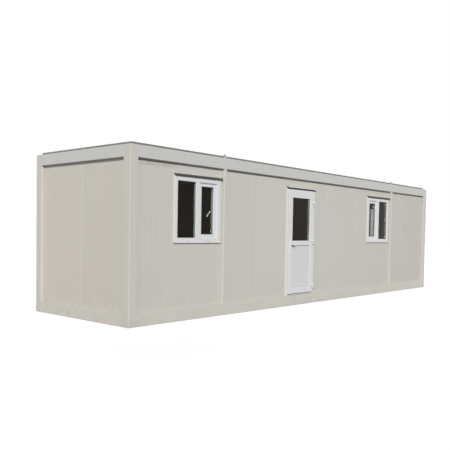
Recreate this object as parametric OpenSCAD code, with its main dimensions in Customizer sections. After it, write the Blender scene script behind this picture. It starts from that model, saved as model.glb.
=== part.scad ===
// Portable site cabin. A frame of folded steel rails and posts carries ribbed sandwich
// panels, three white plastic windows and an outward-opening, half-glazed door.
//
// Origin: centre of the footprint, on the ground. +X runs along the front from left to
// right, +Y from the front to the back, +Z up. All sizes are in millimetres.
//
// Each wall is drawn in a frame of its own: x runs along the wall from its left end as
// seen from outside, y is the depth inwards from the face of the steel frame, z is up.

/* [Overall] */
// Length over the corner posts
cabin_l = 10000; // [8600:50:12000]
// Width over the corner posts
cabin_w = 2440; // [2300:10:3000]
// Height of the steel frame under the roof edge
frame_h = 2600; // [2300:10:2900]

/* [Steel frame] */
// Thickness of the folded steel
steel_t = 4; // [3:0.5:6]
// Outer radius of a bend in the folded steel
bend_r = 8; // [7:0.5:12]
// Lip folded back at the open side of a rail or post
fold_lip = 24; // [16:1:24]
// Width of each of the two faces of a corner post
post_w = 150; // [130:5:190]
// Thickness of the plates that close the ends of a corner post
end_plate_t = 8; // [5:1:12]
// Depth of the wall panels behind the faces of the frame
recess = 55; // [48:1:65]
// Height of the bottom rails
base_h = 190; // [175:5:220]
// Width of a bottom rail that shows inside the wall line
base_ledge = 5; // [2:1:30]
// Height of the top rails
head_h = 180; // [150:5:210]
// Width of a top rail that bears on the ceiling
head_ledge = 35; // [20:1:60]

/* [Lifting points] */
// Distance from each end of the cabin to the middle of a lifting post
lift_x = 2000; // [1950:10:2300]
// Width of a lifting post
lift_w = 60; // [50:1:80]
// Lip folded back at the open side of a lifting post
lift_lip = 20; // [14:1:22]
// Width of the lug on top of a lifting post
lug_w = 56; // [50:1:70]
// Thickness of the lug
lug_t = 12; // [8:1:16]
// Height of the eye above the top rail
eye_z = 34; // [28:1:45]
// Diameter of the eye
eye_d = 30; // [20:1:34]
// Depth of the lug's middle behind the face of the frame
lug_y = 36; // [20:1:50]

/* [Floor and ceiling] */
// Thickness of the floor deck
deck_t = 24; // [24:1:36]
// Underside of the floor joists above the ground
joist_z = 36; // [26:1:50]
// Width of a joist
joist_w = 50; // [40:1:70]
// Thickness of a joist's folded steel
joist_t = 3; // [2:0.5:4]
// Lip of a joist
joist_lip = 15; // [10:1:20]
// Distance from joist to joist
joist_pitch = 500; // [400:10:700]
// Least distance from a corner post to the middle of the nearest joist
joist_end = 250; // [150:10:400]
// Thickness of the ceiling lining
ceiling_t = 40; // [20:1:60]

/* [Roof] */
// Distance of the roof edge from the faces of the frame
roof_inset = 65; // [60:1:90]
// Height of the roof edge above the frame
roof_rise = 40; // [30:1:60]
// Thickness of the roof edge flashing
roof_edge_t = 3; // [2:0.5:4]
// Width of the flashing on top of the roof
roof_cap_w = 110; // [80:1:160]
// Thickness of the roof sheet
roof_sheet_t = 1.5; // [1:0.5:2.5]
// Rough distance from rib to rib of the roof sheet
roof_rib_pitch = 250; // [200:10:333]
// Width of a roof rib at its foot
roof_rib_foot = 110; // [90:1:130]
// Width of a roof rib at its top
roof_rib_top = 50; // [30:1:70]
// Width of the roof sheet's bearing on a top rail
roof_bearing = 45; // [30:1:60]

/* [Wall panels] */
// Thickness of a sandwich panel
panel_t = 60; // [60:1:80]
// Width that one panel covers
panel_cover = 1150; // [900:10:1200]
// First panel joint of a long wall, from its left end
first_joint = 580; // [300:10:800]
// Narrowest strip left at the end of a run of panels
least_strip = 90; // [60:5:150]
// Gap between two panels
panel_gap = 1.5; // [1:0.5:3]
// Chamfer of a panel's edge at a joint
panel_chamfer = 3; // [1:0.5:5]
// Distance from rib to rib on a panel's face
rib_pitch = 100; // [50:5:150]
// Width of a rib groove
rib_w = 12; // [6:1:20]
// Depth of a rib groove
rib_d = 1.5; // [0.5:0.1:3]
// Length of the tongue between two panels
tongue_l = 10; // [6:1:14]
// Thickness of the tongue
tongue_t = 18; // [12:1:24]
// Clearance around the tongue
tongue_fit = 0.5; // [0.3:0.1:1]
// Clearance between a corner's panels and its post
corner_gap = 5; // [2:1:8]

/* [Windows] */
// Width of a window
window_w = 1000; // [850:10:1040]
// Height of a window's underside above the bottom rail
window_sill = 1030; // [900:10:1060]
// Distance from the top of a window to the top rail
window_head = 200; // [110:10:300]
// Distance from a front window to the middle of the lifting post beside it
window_gap = 95; // [80:1:150]
// Width of the mullion, over its lips
mullion_w = 87; // [80:1:110]
// Clearance between a sash and its frame, all round
sash_gap = 4; // [3:0.5:6]
// Width of a sash bar
sash_w = 65; // [55:1:75]
// Turn of the window handles from the upright
handle_turn = 45; // [0:5:90]
// Length of a window handle
handle_l = 115; // [90:1:140]
// Width of a window handle
handle_w = 16; // [12:1:17]
// Thickness of a window handle
handle_t = 12; // [8:1:16]
// Distance from a sash to the grip of its handle
handle_reach = 32; // [26:1:40]
// Radius of a window handle's neck
handle_neck_r = 9; // [9:0.5:12]
// Width of the plate under a window handle
rosette_w = 30; // [24:1:40]
// Height of the plate under a window handle
rosette_h = 70; // [50:1:90]
// Thickness of the plate under a window handle
rosette_t = 9; // [5:1:12]

/* [Plastic bars and glass] */
// How far the plastic frames stand out from the wall panels
frame_proud = 10; // [5:1:14]
// Depth of a plastic bar
bar_d = 70; // [66:1:80]
// Width of a frame bar without its lip
block_w = 50; // [42:1:60]
// Height of the lip that holds the glass
lip_w = 12; // [9:1:14]
// Depth of the lip in front of the glass
lip_d = 21; // [16:1:24]
// Chamfer of a lip's visible edge
lip_chamfer = 6; // [2:0.5:8]
// Distance from the bead behind a fixed pane to the back of its frame
bead_back = 5; // [3:1:8]
// Width of the groove that takes the glass
groove_w = 22; // [18:1:26]
// Clearance of the glass in its groove, on each face
glass_fit = 0.3; // [0.2:0.1:0.5]
// Clearance of the glass from the bottom of its groove
glass_edge = 2; // [1:0.5:4]

/* [Flashings] */
// Width of the cover strip around an opening
strip_w = 30; // [20:1:34]
// Thickness of a flashing
strip_t = 2.5; // [1.5:0.5:4]
// Reach of a head flashing in front of the panels
drip_d = 52; // [30:1:54]
// Height of a head flashing's lip above the opening
drip_z = 28; // [8:1:34]
// Height of a head flashing's lip
drip_lip = 14; // [8:1:20]
// Fall of a flashing's top
drip_fall = 8; // [3:1:14]
// Upright leg of a head flashing
drip_leg = 32; // [20:1:50]
// How far a head flashing passes the opening at each side
drip_over = 35; // [30:1:40]
// Reach of a window's sill flashing in front of the panels
sill_d = 27; // [16:1:36]
// Fall of a sill flashing's top
sill_fall = 5; // [2:1:8]
// Height of a sill flashing's lip
sill_lip = 15; // [8:1:24]
// Upright leg of a sill flashing
sill_leg = 24; // [16:1:40]

/* [Door] */
// Left edge of the door frame from the left end of the cabin
door_x = 3800; // [3000:10:4300]
// Width of the door frame
door_w = 900; // [850:10:1000]
// Distance from the top of the door frame to the top rail
door_head = 200; // [110:10:300]
// Width of a door frame bar
jamb_w = 45; // [40:1:55]
// Chamfer of a door frame bar's visible edge
jamb_chamfer = 4; // [1:0.5:6]
// Width of the stop that the leaf closes on
stop_w = 17; // [14:1:20]
// Depth of the stop
stop_d = 15; // [10:1:18]
// Height of the threshold
threshold_h = 40; // [20:1:60]
// Chamfer of the threshold's front edge
threshold_chamfer = 6; // [2:1:10]
// How far the leaf laps over its frame
leaf_lap = 8; // [6:1:12]
// Thickness of the leaf's lapping lip
leaf_lip_t = 12; // [8:1:16]
// Chamfer of the leaf's outer edge
leaf_chamfer = 3; // [1:0.5:5]
// Depth of the leaf's lip in front of its glass
leaf_lip_d = 20; // [16:1:22]
// Clearance between the leaf's lip and the face of its frame
leaf_gap = 5; // [5:0.5:8]
// Clearance between the body of the leaf and its frame, all round
leaf_side_gap = 10; // [9:0.5:14]
// Width of a leaf bar
leaf_bar_w = 122; // [110:1:130]
// Height of the middle of the leaf's cross rail above the bottom rail
cross_rail_z = 1005; // [900:5:1100]
// Height of the cross rail
cross_rail_h = 90; // [80:1:110]

/* [Door hinges] */
// Height of the lowest hinge above the leaf's foot
hinge_low = 108; // [90:1:200]
// Height of the middle hinge above the leaf's foot
hinge_mid = 998; // [800:1:1100]
// Distance from the highest hinge to the leaf's head
hinge_high = 213; // [120:1:300]
// Height of one hinge
hinge_h = 96; // [70:2:120]
// Radius of a hinge barrel
barrel_r = 9; // [8:0.5:10]
// Radius of a hinge pin
pin_r = 4; // [3:0.5:5]
// Clearance between a pin and its barrel
pin_fit = 0.1; // [0.05:0.05:0.3]
// Distance from the end of a pin to the top of its barrel
pin_end = 8; // [4:1:12]
// Gap between the two halves of a barrel
barrel_gap = 2; // [1:0.5:4]
// Distance from the leaf's edge to the middle of its hinges
hinge_x = 15; // [14.5:0.5:16]
// Distance from the leaf's face to the middle of its hinges
hinge_y = 6; // [4:0.5:8]
// Width of the hinge plate on the leaf
hinge_plate_w = 40; // [30:1:60]
// Thickness of the hinge plate on the leaf
hinge_plate_t = 8; // [5:0.5:10]

/* [Door handle] */
// Distance from the leaf's edge to the middle of the lever
lever_x = 55; // [50:1:65]
// Height of the lever above the bottom rail
lever_z = 980; // [880:5:1040]
// Length of the lever
lever_l = 125; // [100:1:140]
// Height of the lever's grip
lever_h = 20; // [16:1:24]
// Thickness of the lever's grip
lever_t = 14; // [10:1:18]
// Distance from the handle plate to the lever's grip
lever_reach = 36; // [30:1:45]
// Radius of the spindle
spindle_r = 8; // [6:0.5:9]
// Clearance around the spindle
spindle_fit = 0.5; // [0.3:0.1:0.9]
// Width of a handle plate
plate_w = 30; // [28:1:36]
// Height of a handle plate
plate_h = 230; // [180:1:260]
// Thickness of a handle plate
plate_t = 8; // [5:1:12]
// Height of the lever above the foot of its plate
plate_foot = 170; // [120:1:180]

/* [Hidden] */
$fa = 6;
$fs = 1.5;
// Overlap that makes a cut pass right through
cut = 1;
// Underside of the top rails, top of the walls
wall_top = frame_h - head_h;
// Inner face of the wall panels
wall_in = recess + panel_t;
// Face of the plastic frames
pvc_y = recess - frame_proud;
// Bar of a window frame, over its lip
frame_bar = block_w + lip_w;
// Left edges and levels of the windows
window_z = base_h + window_sill;
window_h = wall_top - window_head - window_z;
left_window_x = lift_x - window_gap - window_w;
right_window_x = cabin_l - lift_x - window_gap - window_w;
end_window_x = (cabin_w - window_w) / 2;
// The two lights of a window, from block to block
light_w = (window_w - 2 * block_w - (mullion_w - 2 * lip_w)) / 2;
light_h = window_h - 2 * block_w;
light_x0 = block_w;
light_x1 = window_w - block_w - light_w;
// Door leaf over its lip, in the frame of the front wall
door_top = wall_top - door_head;
door_h = door_top - base_h;
leaf_in = jamb_w - leaf_lap;
leaf_step = leaf_lap + leaf_side_gap;
leaf_x0 = door_x + leaf_in;
leaf_x1 = door_x + door_w - leaf_in;
leaf_w = leaf_x1 - leaf_x0;
leaf_z0 = base_h + threshold_h + leaf_side_gap - leaf_step;
leaf_z1 = door_top - leaf_in;
leaf_h = leaf_z1 - leaf_z0;
leaf_y0 = pvc_y - leaf_gap - leaf_lip_t;
leaf_y1 = pvc_y + bar_d - stop_d - leaf_gap;
leaf_groove_y = leaf_y0 + leaf_lip_d;
cross_z = base_h + cross_rail_z;
// Axes of the door and of its lever
hinge_ax = leaf_x1 + hinge_x;
hinge_ay = leaf_y0 - hinge_y;
hinge_zs = [leaf_z0 + hinge_low, leaf_z0 + hinge_mid, leaf_z1 - hinge_high];
lever_ax = leaf_x0 + lever_x;
lever_az = base_h + lever_z;
// Roof sheet inside its edge flashing
roof_in = roof_inset + roof_edge_t;
roof_l = cabin_l - 2 * roof_in;
roof_ribs = round(roof_l / roof_rib_pitch);
roof_rib_h = roof_rise - roof_edge_t;
// Joists
joist_n = floor((cabin_l - 2 * (post_w + joist_end)) / joist_pitch) + 1;
joist_h = base_h - deck_t - joist_z;

// Colours
paint = [0.76, 0.75, 0.72];
panel_paint = [0.76, 0.75, 0.71];
plastic = [0.92, 0.92, 0.91];
zinc = [0.66, 0.68, 0.69];
dark_zinc = [0.42, 0.42, 0.40];
timber = [0.52, 0.42, 0.31];
lining = [0.88, 0.87, 0.84];
pane = [0.45, 0.55, 0.58, 0.4];
steel = [0.55, 0.55, 0.55];

// Frames of the four walls

module on_front() translate([-cabin_l / 2, -cabin_w / 2, 0]) children();
module on_back() translate([cabin_l / 2, cabin_w / 2, 0]) rotate(180) children();
module on_left() translate([-cabin_l / 2, cabin_w / 2, 0]) rotate(-90) children();
module on_right() translate([cabin_l / 2, -cabin_w / 2, 0]) rotate(90) children();

// Runs an outline of [depth, height] along a wall from x0 to x1
module along_wall(x0, x1) translate([x0, 0, 0]) rotate([90, 0, 90]) linear_extrude(x1 - x0) children();

// Runs an outline of [x, z] through a wall from the depth y0 to y1
module through_wall(y0, y1) translate([0, y1, 0]) rotate([90, 0, 0]) linear_extrude(y1 - y0) children();

// A round bar or hole along the depth of a wall
module depth_round(x, z, r, y0, y1) translate([x, y1, z]) rotate([90, 0, 0]) cylinder(h = y1 - y0, r = r);

// Folded steel sections

// Section of a folded sheet: path is its outer line, which turns left at every bend
module folded(path, t) {
  n = len(path) - 1;
  for (i = [0 : n - 1]) {
    u = (path[i + 1] - path[i]) / norm(path[i + 1] - path[i]);
    v = [-u.y, u.x];
    a = path[i] + (i > 0 ? bend_r : 0) * u;
    b = path[i + 1] - (i < n - 1 ? bend_r : 0) * u;
    polygon([a, b, b + t * v, a + t * v]);
    if (i < n - 1)
      translate(path[i + 1] + bend_r * (v - u)) rotate(atan2(-v.y, -v.x)) intersection() {
        difference() {
          circle(bend_r);
          circle(bend_r - t);
        }
        square(2 * bend_r);
      }
  }
}

// A lipped channel with its web at 0, its low flange d0 deep and its high flange d1 deep
function channel(h, d0, d1, lip) = [[d1, h - lip], [d1, h], [0, h], [0, 0], [d0, 0], [d0, lip]];

// Base and floor

module bottom_rail(wall_l) {
  d = wall_in + base_ledge;
  along_wall(post_w, wall_l - post_w) folded(channel(base_h, d, d, fold_lip), steel_t);
}

module bottom_rail_front() color(paint) on_front() bottom_rail(cabin_l);
module bottom_rail_back() color(paint) on_back() bottom_rail(cabin_l);
module bottom_rail_left() color(paint) on_left() bottom_rail(cabin_w);
module bottom_rail_right() color(paint) on_right() bottom_rail(cabin_w);

module floor_joists() color(zinc) {
  first = -(joist_n - 1) * joist_pitch / 2 - joist_w / 2;
  for (i = [0 : joist_n - 1])
    translate([first + i * joist_pitch, cabin_w / 2 - steel_t, joist_z])
      rotate([90, 0, 0]) linear_extrude(cabin_w - 2 * steel_t)
        folded(channel(joist_h, joist_w, joist_w, joist_lip), joist_t);
}

module floor_deck() color(timber) {
  d = wall_in + base_ledge;
  on_front() translate([d, d, base_h - deck_t]) cube([cabin_l - 2 * d, cabin_w - 2 * d, deck_t]);
}

// Posts and lifting points

// Two faces with a return and a lip each, closed by a plate at both ends
module corner_post() {
  w = post_w;
  d = recess;
  linear_extrude(frame_h) folded([
    [d, w - fold_lip], [d, w], [0, w], [0, 0], [w, 0], [w, d], [w - fold_lip, d]
  ], steel_t);
  for (z = [0, frame_h - end_plate_t])
    translate([steel_t, steel_t, z]) cube([w - steel_t, w - steel_t, end_plate_t]);
}

module corner_post_front_left() color(paint) on_front() corner_post();
module corner_post_front_right() color(paint) on_right() corner_post();
module corner_post_back_left() color(paint) on_left() corner_post();
module corner_post_back_right() color(paint) on_back() corner_post();

// A folded channel, open towards the panels, between the two rails
module lifting_post(x) {
  w = lift_w;
  d = recess;
  translate([x - w / 2, 0, base_h]) linear_extrude(wall_top - base_h)
    folded([[lift_lip, d], [0, d], [0, 0], [w, 0], [w, d], [w - lift_lip, d]], steel_t);
}

module lifting_posts() color(paint) {
  for (x = [lift_x, cabin_l - lift_x]) {
    on_front() lifting_post(x);
    on_back() lifting_post(x);
  }
}

// An upright plate with a round top and an eye
module lifting_lug(x) translate([x, 0, frame_h]) difference() {
  union() {
    translate([-lug_w / 2, lug_y - lug_t / 2, 0]) cube([lug_w, lug_t, eye_z]);
    depth_round(0, eye_z, lug_w / 2, lug_y - lug_t / 2, lug_y + lug_t / 2);
  }
  depth_round(0, eye_z, eye_d / 2, lug_y - lug_t / 2 - cut, lug_y + lug_t / 2 + cut);
}

module lifting_lugs() color(steel) {
  for (x = [lift_x, cabin_l - lift_x]) {
    on_front() lifting_lug(x);
    on_back() lifting_lug(x);
  }
}

// Top frame, ceiling and roof

module top_rail(wall_l) along_wall(post_w, wall_l - post_w) translate([0, wall_top])
  folded(channel(head_h, wall_in + head_ledge, roof_in + roof_bearing, fold_lip), steel_t);

module top_rail_front() color(paint) on_front() top_rail(cabin_l);
module top_rail_back() color(paint) on_back() top_rail(cabin_l);
module top_rail_left() color(paint) on_left() top_rail(cabin_w);
module top_rail_right() color(paint) on_right() top_rail(cabin_w);

module ceiling() color(lining) on_front() translate([wall_in, wall_in, wall_top - ceiling_t])
  cube([cabin_l - 2 * wall_in, cabin_w - 2 * wall_in, ceiling_t]);

// Levels of the roof sheet's upper face from rib to rib
function roof_line(z_pan, z_rib) = [
  [0, z_pan],
  for (i = [0 : roof_ribs - 1]) let (c = (i + 0.5) * roof_l / roof_ribs) each [
    [c - roof_rib_foot / 2, z_pan], [c - roof_rib_top / 2, z_rib],
    [c + roof_rib_top / 2, z_rib], [c + roof_rib_foot / 2, z_pan]
  ],
  [roof_l, z_pan]
];

module roof_sheet() color(zinc) {
  upper = roof_line(roof_sheet_t, roof_rib_h);
  lower = roof_line(0, roof_rib_h - roof_sheet_t);
  n = len(lower);
  on_front() translate([roof_in, 0, frame_h]) through_wall(roof_in, cabin_w - roof_in)
    polygon(concat(upper, [for (i = [n - 1 : -1 : 0]) lower[i]]));
}

// An upright edge all round with a cap over the edges of the roof sheet
module roof_edge() color(dark_zinc) on_front() translate([roof_inset, roof_inset, frame_h]) {
  l = cabin_l - 2 * roof_inset;
  w = cabin_w - 2 * roof_inset;
  t = roof_edge_t;
  difference() {
    cube([l, w, roof_rise]);
    translate([t, t, -cut]) cube([l - 2 * t, w - 2 * t, roof_rise - t + cut]);
    translate([roof_cap_w, roof_cap_w, 0]) cube([l - 2 * roof_cap_w, w - 2 * roof_cap_w, roof_rise + cut]);
  }
}

// Wall panels

// Grooves across the face of a panel between x0 and x1, counted from the joint at from
function rib_line(x0, x1, from) = let (
  margin = (panel_cover - floor(panel_cover / rib_pitch - 0.5) * rib_pitch) / 2,
  first = from + margin
) [
  for (c = [first : rib_pitch : x1 - margin / 2])
    if (c > x0 + rib_w + panel_chamfer && c < x1 - rib_w - panel_chamfer)
      each [[c - rib_w / 2, 0], [c, rib_d], [c + rib_w / 2, 0]]
];

// Plan of a panel from x0 to x1, with a groove at its left and a tongue at its right edge
function panel_plan(x0, x1, from, groove, tongue) = let (
  mid = panel_t / 2,
  g = tongue_t / 2 + tongue_fit,
  gx = x0 + tongue_l + tongue_fit - panel_gap,
  h = tongue_t / 2,
  c = panel_chamfer
) concat(
  groove ? [[x0, c], [x0 + c, 0]] : [[x0, 0]],
  rib_line(x0, x1, from),
  tongue
    ? [[x1 - c, 0], [x1, c], [x1, mid - h], [x1 + tongue_l, mid - h], [x1 + tongue_l, mid + h], [x1, mid + h]]
    : [[x1, 0]],
  [[x1, panel_t], [x0, panel_t]],
  groove ? [[x0, mid + g], [gx, mid + g], [gx, mid - g], [x0, mid - g]] : []
);

// Joints of a run of panels from x0 to x1, the first of the wall being at j0
function run_joints(x0, x1, j0) = [
  for (x = [j0 : panel_cover : x1 - least_strip]) if (x > x0 + least_strip) x
];

// A row of panels from x0 to x1 and from z0 to z1
module panel_run(x0, x1, j0, z0, z1) {
  edges = concat([x0], run_joints(x0, x1, j0), [x1]);
  last = len(edges) - 2;
  for (i = [0 : last]) {
    from = edges[i] + (i > 0 ? panel_gap / 2 : 0);
    to = edges[i + 1] - (i < last ? panel_gap / 2 : 0);
    start = j0 + floor((edges[i] + panel_gap - j0) / panel_cover) * panel_cover;
    translate([0, recess, z0]) linear_extrude(z1 - z0)
      polygon(panel_plan(from, to, start, i > 0, i < last));
  }
}

module window_hole(x) translate([x, recess - cut, window_z]) cube([window_w, panel_t + 2 * cut, window_h]);

module front_panels_left() color(panel_paint) on_front() difference() {
  panel_run(recess + corner_gap, door_x, first_joint, base_h, wall_top);
  window_hole(left_window_x);
}

module front_panels_over_door() color(panel_paint) on_front()
  panel_run(door_x, door_x + door_w, first_joint, door_top, wall_top);

module front_panels_right() color(panel_paint) on_front() difference() {
  panel_run(door_x + door_w, cabin_l - recess - corner_gap, first_joint, base_h, wall_top);
  window_hole(right_window_x);
}

module back_panels() color(panel_paint) on_back()
  panel_run(recess + corner_gap, cabin_l - recess - corner_gap, first_joint, base_h, wall_top);

module left_end_panels() color(panel_paint) on_left()
  panel_run(wall_in, cabin_w - wall_in, cabin_w / 2, base_h, wall_top);

module right_end_panels() color(panel_paint) on_right() difference() {
  panel_run(wall_in, cabin_w - wall_in, cabin_w / 2, base_h, wall_top);
  window_hole(end_window_x);
}

// Flashings around the openings

// Outline of the head flashing, its level 0 at the top of the opening
function drip_section() = let (
  y0 = recess - drip_d, y1 = recess, t = strip_t,
  z0 = drip_z, z1 = drip_z + drip_lip, z2 = z1 + drip_fall, z3 = z2 + drip_leg
) [
  [y1, z3], [y1 - t, z3], [y1 - t, z2], [y0, z1], [y0, z0], [y0 + t, z0], [y0 + t, z1 - t], [y1, z2 - t]
];

// Outline of the sill flashing, its level 0 at the foot of the opening
function sill_section() = let (y0 = recess - sill_d, t = strip_t, z0 = -sill_fall, z1 = z0 - sill_lip) [
  [recess, 0], [pvc_y, 0], [y0, z0], [y0, z1], [y0 + t, z1], [y0 + t, z0 - t], [recess - t, -t],
  [recess - t, -sill_leg], [recess, -sill_leg]
];

module opening_flashing(x, z, w, h, with_sill) {
  foot = with_sill ? -sill_leg : 0;
  translate([0, 0, z]) {
    for (sx = [x - strip_w, x + w])
      translate([sx, recess - strip_t, foot]) cube([strip_w, strip_t, h - foot + drip_z + drip_lip]);
    translate([0, 0, h]) along_wall(x - drip_over, x + w + drip_over) polygon(drip_section());
    translate([x - strip_w, recess - strip_t, h])
      cube([w + 2 * strip_w, strip_t, drip_z + drip_lip + drip_fall]);
    if (with_sill) along_wall(x - strip_w, x + w + strip_w) polygon(sill_section());
  }
}

module window_flashings() color(panel_paint) {
  on_front() opening_flashing(left_window_x, window_z, window_w, window_h, true);
  on_front() opening_flashing(right_window_x, window_z, window_w, window_h, true);
  on_right() opening_flashing(end_window_x, window_z, window_w, window_h, true);
}

module door_flashing() color(panel_paint) on_front()
  opening_flashing(door_x, base_h, door_w, door_h, false);

// Mitred plastic frames

// The bottom bar of a frame w wide, its section given as [depth, inward]
module mitred_bar(w, section) {
  in = max([for (p = section) p[1]]) + cut;
  y0 = min([for (p = section) p[0]]) - cut;
  y1 = max([for (p = section) p[0]]) + cut;
  intersection() {
    along_wall(0, w) polygon(section);
    through_wall(y0, y1) polygon([[0, 0], [w, 0], [w - in, in], [in, in]]);
  }
}

// Four mitred bars around an opening, w wide and h high over the bars
module mitred_frame(w, h, section) {
  mitred_bar(w, section);
  translate([w, 0, h]) rotate([0, 180, 0]) mitred_bar(w, section);
  translate([0, 0, h]) rotate([0, 90, 0]) mitred_bar(h, section);
  translate([w, 0, 0]) rotate([0, -90, 0]) mitred_bar(h, section);
}

// Windows: a fixed pane on one side of the mullion and a sash on the other

// A frame bar: a block with a chamfered lip in front of the glass or sash
function frame_section() = let (y = pvc_y, c = lip_chamfer) [
  [y, 0], [y + bar_d, 0], [y + bar_d, block_w], [y + lip_d, block_w],
  [y + lip_d, frame_bar], [y + c, frame_bar], [y, frame_bar - c]
];

// The bead behind a fixed pane
function bead_section() = let (
  y0 = pvc_y + lip_d + groove_w, y1 = pvc_y + bar_d - bead_back, c = lip_chamfer
) [
  [y0, 0], [y1, 0], [y1, lip_w - c], [y1 - c, lip_w], [y0, lip_w]
];

// A sash bar: a groove for the glass between two chamfered lips
function sash_section() = let (
  y0 = pvc_y + lip_d + glass_fit, g = y0 + lip_d, y1 = y0 + bar_d, w = sash_w, c = lip_chamfer
) [
  [y0, 0], [y1, 0], [y1, w - c], [y1 - c, w], [g + groove_w, w], [g + groove_w, w - lip_w],
  [g, w - lip_w], [g, w], [y0 + c, w], [y0, w - c]
];

module window_frame(x, sash_right) translate([x, 0, window_z]) {
  m = mullion_w / 2;
  b = m - lip_w;
  c = lip_chamfer;
  mitred_frame(window_w, window_h, frame_section());
  translate([window_w / 2, pvc_y, block_w]) linear_extrude(light_h) polygon([
    [-b, bar_d], [-b, lip_d], [-m, lip_d], [-m, c], [c - m, 0], [m - c, 0], [m, c], [m, lip_d],
    [b, lip_d], [b, bar_d]
  ]);
  translate([sash_right ? light_x0 : light_x1, 0, block_w]) mitred_frame(light_w, light_h, bead_section());
}

module window_sash(x, sash_right)
  translate([x + (sash_right ? light_x1 : light_x0) + sash_gap, 0, window_z + block_w + sash_gap])
    mitred_frame(light_w - 2 * sash_gap, light_h - 2 * sash_gap, sash_section());

// The fixed pane and the sash's pane
module window_glass(x, sash_right) translate([x, 0, window_z]) {
  fixed_x = sash_right ? light_x0 : light_x1;
  sash_x = sash_right ? light_x1 : light_x0;
  e = glass_edge;
  t = groove_w - 2 * glass_fit;
  translate([fixed_x + e, pvc_y + lip_d + glass_fit, block_w + e])
    cube([light_w - 2 * e, t, light_h - 2 * e]);
  s = sash_gap + sash_w - lip_w + e;
  translate([sash_x + s, pvc_y + 2 * lip_d + 2 * glass_fit, block_w + s])
    cube([light_w - 2 * s, t, light_h - 2 * s]);
}

// A turning handle on the inner face of the sash bar that is away from the mullion
module window_handle(x, sash_right) {
  y = pvc_y + lip_d + glass_fit + bar_d;
  hx = x + (sash_right ? window_w - block_w - sash_gap - sash_w / 2 : block_w + sash_gap + sash_w / 2);
  turn = sash_right ? handle_turn : -handle_turn;
  grip_y = y + handle_reach;
  translate([hx, 0, window_z + window_h / 2]) {
    translate([-rosette_w / 2, y, -rosette_h / 2]) cube([rosette_w, rosette_t, rosette_h]);
    depth_round(0, 0, handle_neck_r, y, grip_y + handle_t);
    rotate([0, turn, 0]) {
      translate([-handle_w / 2, grip_y, -handle_l]) cube([handle_w, handle_t, handle_l]);
      depth_round(0, -handle_l, handle_w / 2, grip_y, grip_y + handle_t);
    }
  }
}

module front_left_window_frame() color(plastic) on_front() window_frame(left_window_x, true);
module front_left_window_sash() color(plastic) on_front() window_sash(left_window_x, true);
module front_left_window_glass() color(pane) on_front() window_glass(left_window_x, true);
module front_right_window_frame() color(plastic) on_front() window_frame(right_window_x, false);
module front_right_window_sash() color(plastic) on_front() window_sash(right_window_x, false);
module front_right_window_glass() color(pane) on_front() window_glass(right_window_x, false);
module right_end_window_frame() color(plastic) on_right() window_frame(end_window_x, true);
module right_end_window_sash() color(plastic) on_right() window_sash(end_window_x, true);
module right_end_window_glass() color(pane) on_right() window_glass(end_window_x, true);

module window_handles() color(plastic) {
  on_front() window_handle(left_window_x, true);
  on_front() window_handle(right_window_x, false);
  on_right() window_handle(end_window_x, true);
}

// Door frame

// A frame bar with a stop behind the leaf
function jamb_section() = let (y = pvc_y, y1 = pvc_y + bar_d, c = jamb_chamfer) [
  [y, 0], [y1, 0], [y1, jamb_w + stop_w], [y1 - stop_d, jamb_w + stop_w], [y1 - stop_d, jamb_w],
  [y + c, jamb_w], [y, jamb_w - c]
];

// Two jambs and a head: the foot of a taller frame is cut away
module door_frame() color(plastic) on_front() {
  below = 2 * (jamb_w + stop_w);
  difference() {
    translate([door_x, 0, base_h - below]) mitred_frame(door_w, door_h + below, jamb_section());
    translate([door_x - cut, pvc_y - cut, base_h - below - cut])
      cube([door_w + 2 * cut, bar_d + 2 * cut, below + cut]);
  }
}

// A low sill between the jambs
module door_threshold() color(zinc) on_front() {
  y1 = pvc_y + bar_d - stop_d;
  z1 = base_h + threshold_h;
  c = threshold_chamfer;
  along_wall(door_x + jamb_w, door_x + door_w - jamb_w)
    polygon([[pvc_y, base_h], [y1, base_h], [y1, z1], [pvc_y + c, z1], [pvc_y, z1 - c]]);
}

// Door leaf

// A leaf bar: a lip that laps over the frame, and a groove for the glass
function leaf_section() = let (
  y0 = leaf_y0, yl = leaf_y0 + leaf_lip_t, y1 = leaf_y1, s = leaf_step, w = leaf_bar_w, c = lip_chamfer,
  e = leaf_chamfer, g0 = leaf_groove_y, g1 = leaf_groove_y + groove_w
) [
  [y0, e], [y0 + e, 0], [yl, 0], [yl, s], [y1, s], [y1, w - c], [y1 - c, w], [g1, w], [g1, w - lip_w],
  [g0, w - lip_w], [g0, w], [y0 + c, w], [y0, w - c]
];

// The cross rail between the glass and the infill
function cross_section() = let (
  y0 = leaf_y0, y1 = leaf_y1, h = cross_rail_h / 2, c = lip_chamfer,
  g0 = leaf_groove_y, g1 = leaf_groove_y + groove_w
) [
  [y0, c - h], [y0 + c, -h], [g0, -h], [g0, lip_w - h], [g1, lip_w - h], [g1, -h], [y1 - c, -h],
  [y1, c - h], [y1, h - c], [y1 - c, h], [g1, h], [g1, h - lip_w], [g0, h - lip_w], [g0, h],
  [y0 + c, h], [y0, h - c]
];

module door_leaf() color(plastic) on_front() difference() {
  union() {
    translate([leaf_x0, 0, leaf_z0]) mitred_frame(leaf_w, leaf_h, leaf_section());
    translate([0, 0, cross_z])
      along_wall(leaf_x0 + leaf_bar_w - lip_w, leaf_x1 - leaf_bar_w + lip_w) polygon(cross_section());
  }
  depth_round(lever_ax, lever_az, spindle_r + spindle_fit, leaf_y0 - cut, leaf_y1 + cut);
}

// A filling in the leaf's groove from z0 to z1, both measured at the visible edges
module leaf_filling(z0, z1) {
  e = lip_w - glass_edge;
  s = leaf_bar_w - e;
  translate([leaf_x0 + s, leaf_groove_y + glass_fit, z0 - e])
    cube([leaf_w - 2 * s, groove_w - 2 * glass_fit, z1 - z0 + 2 * e]);
}

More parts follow.
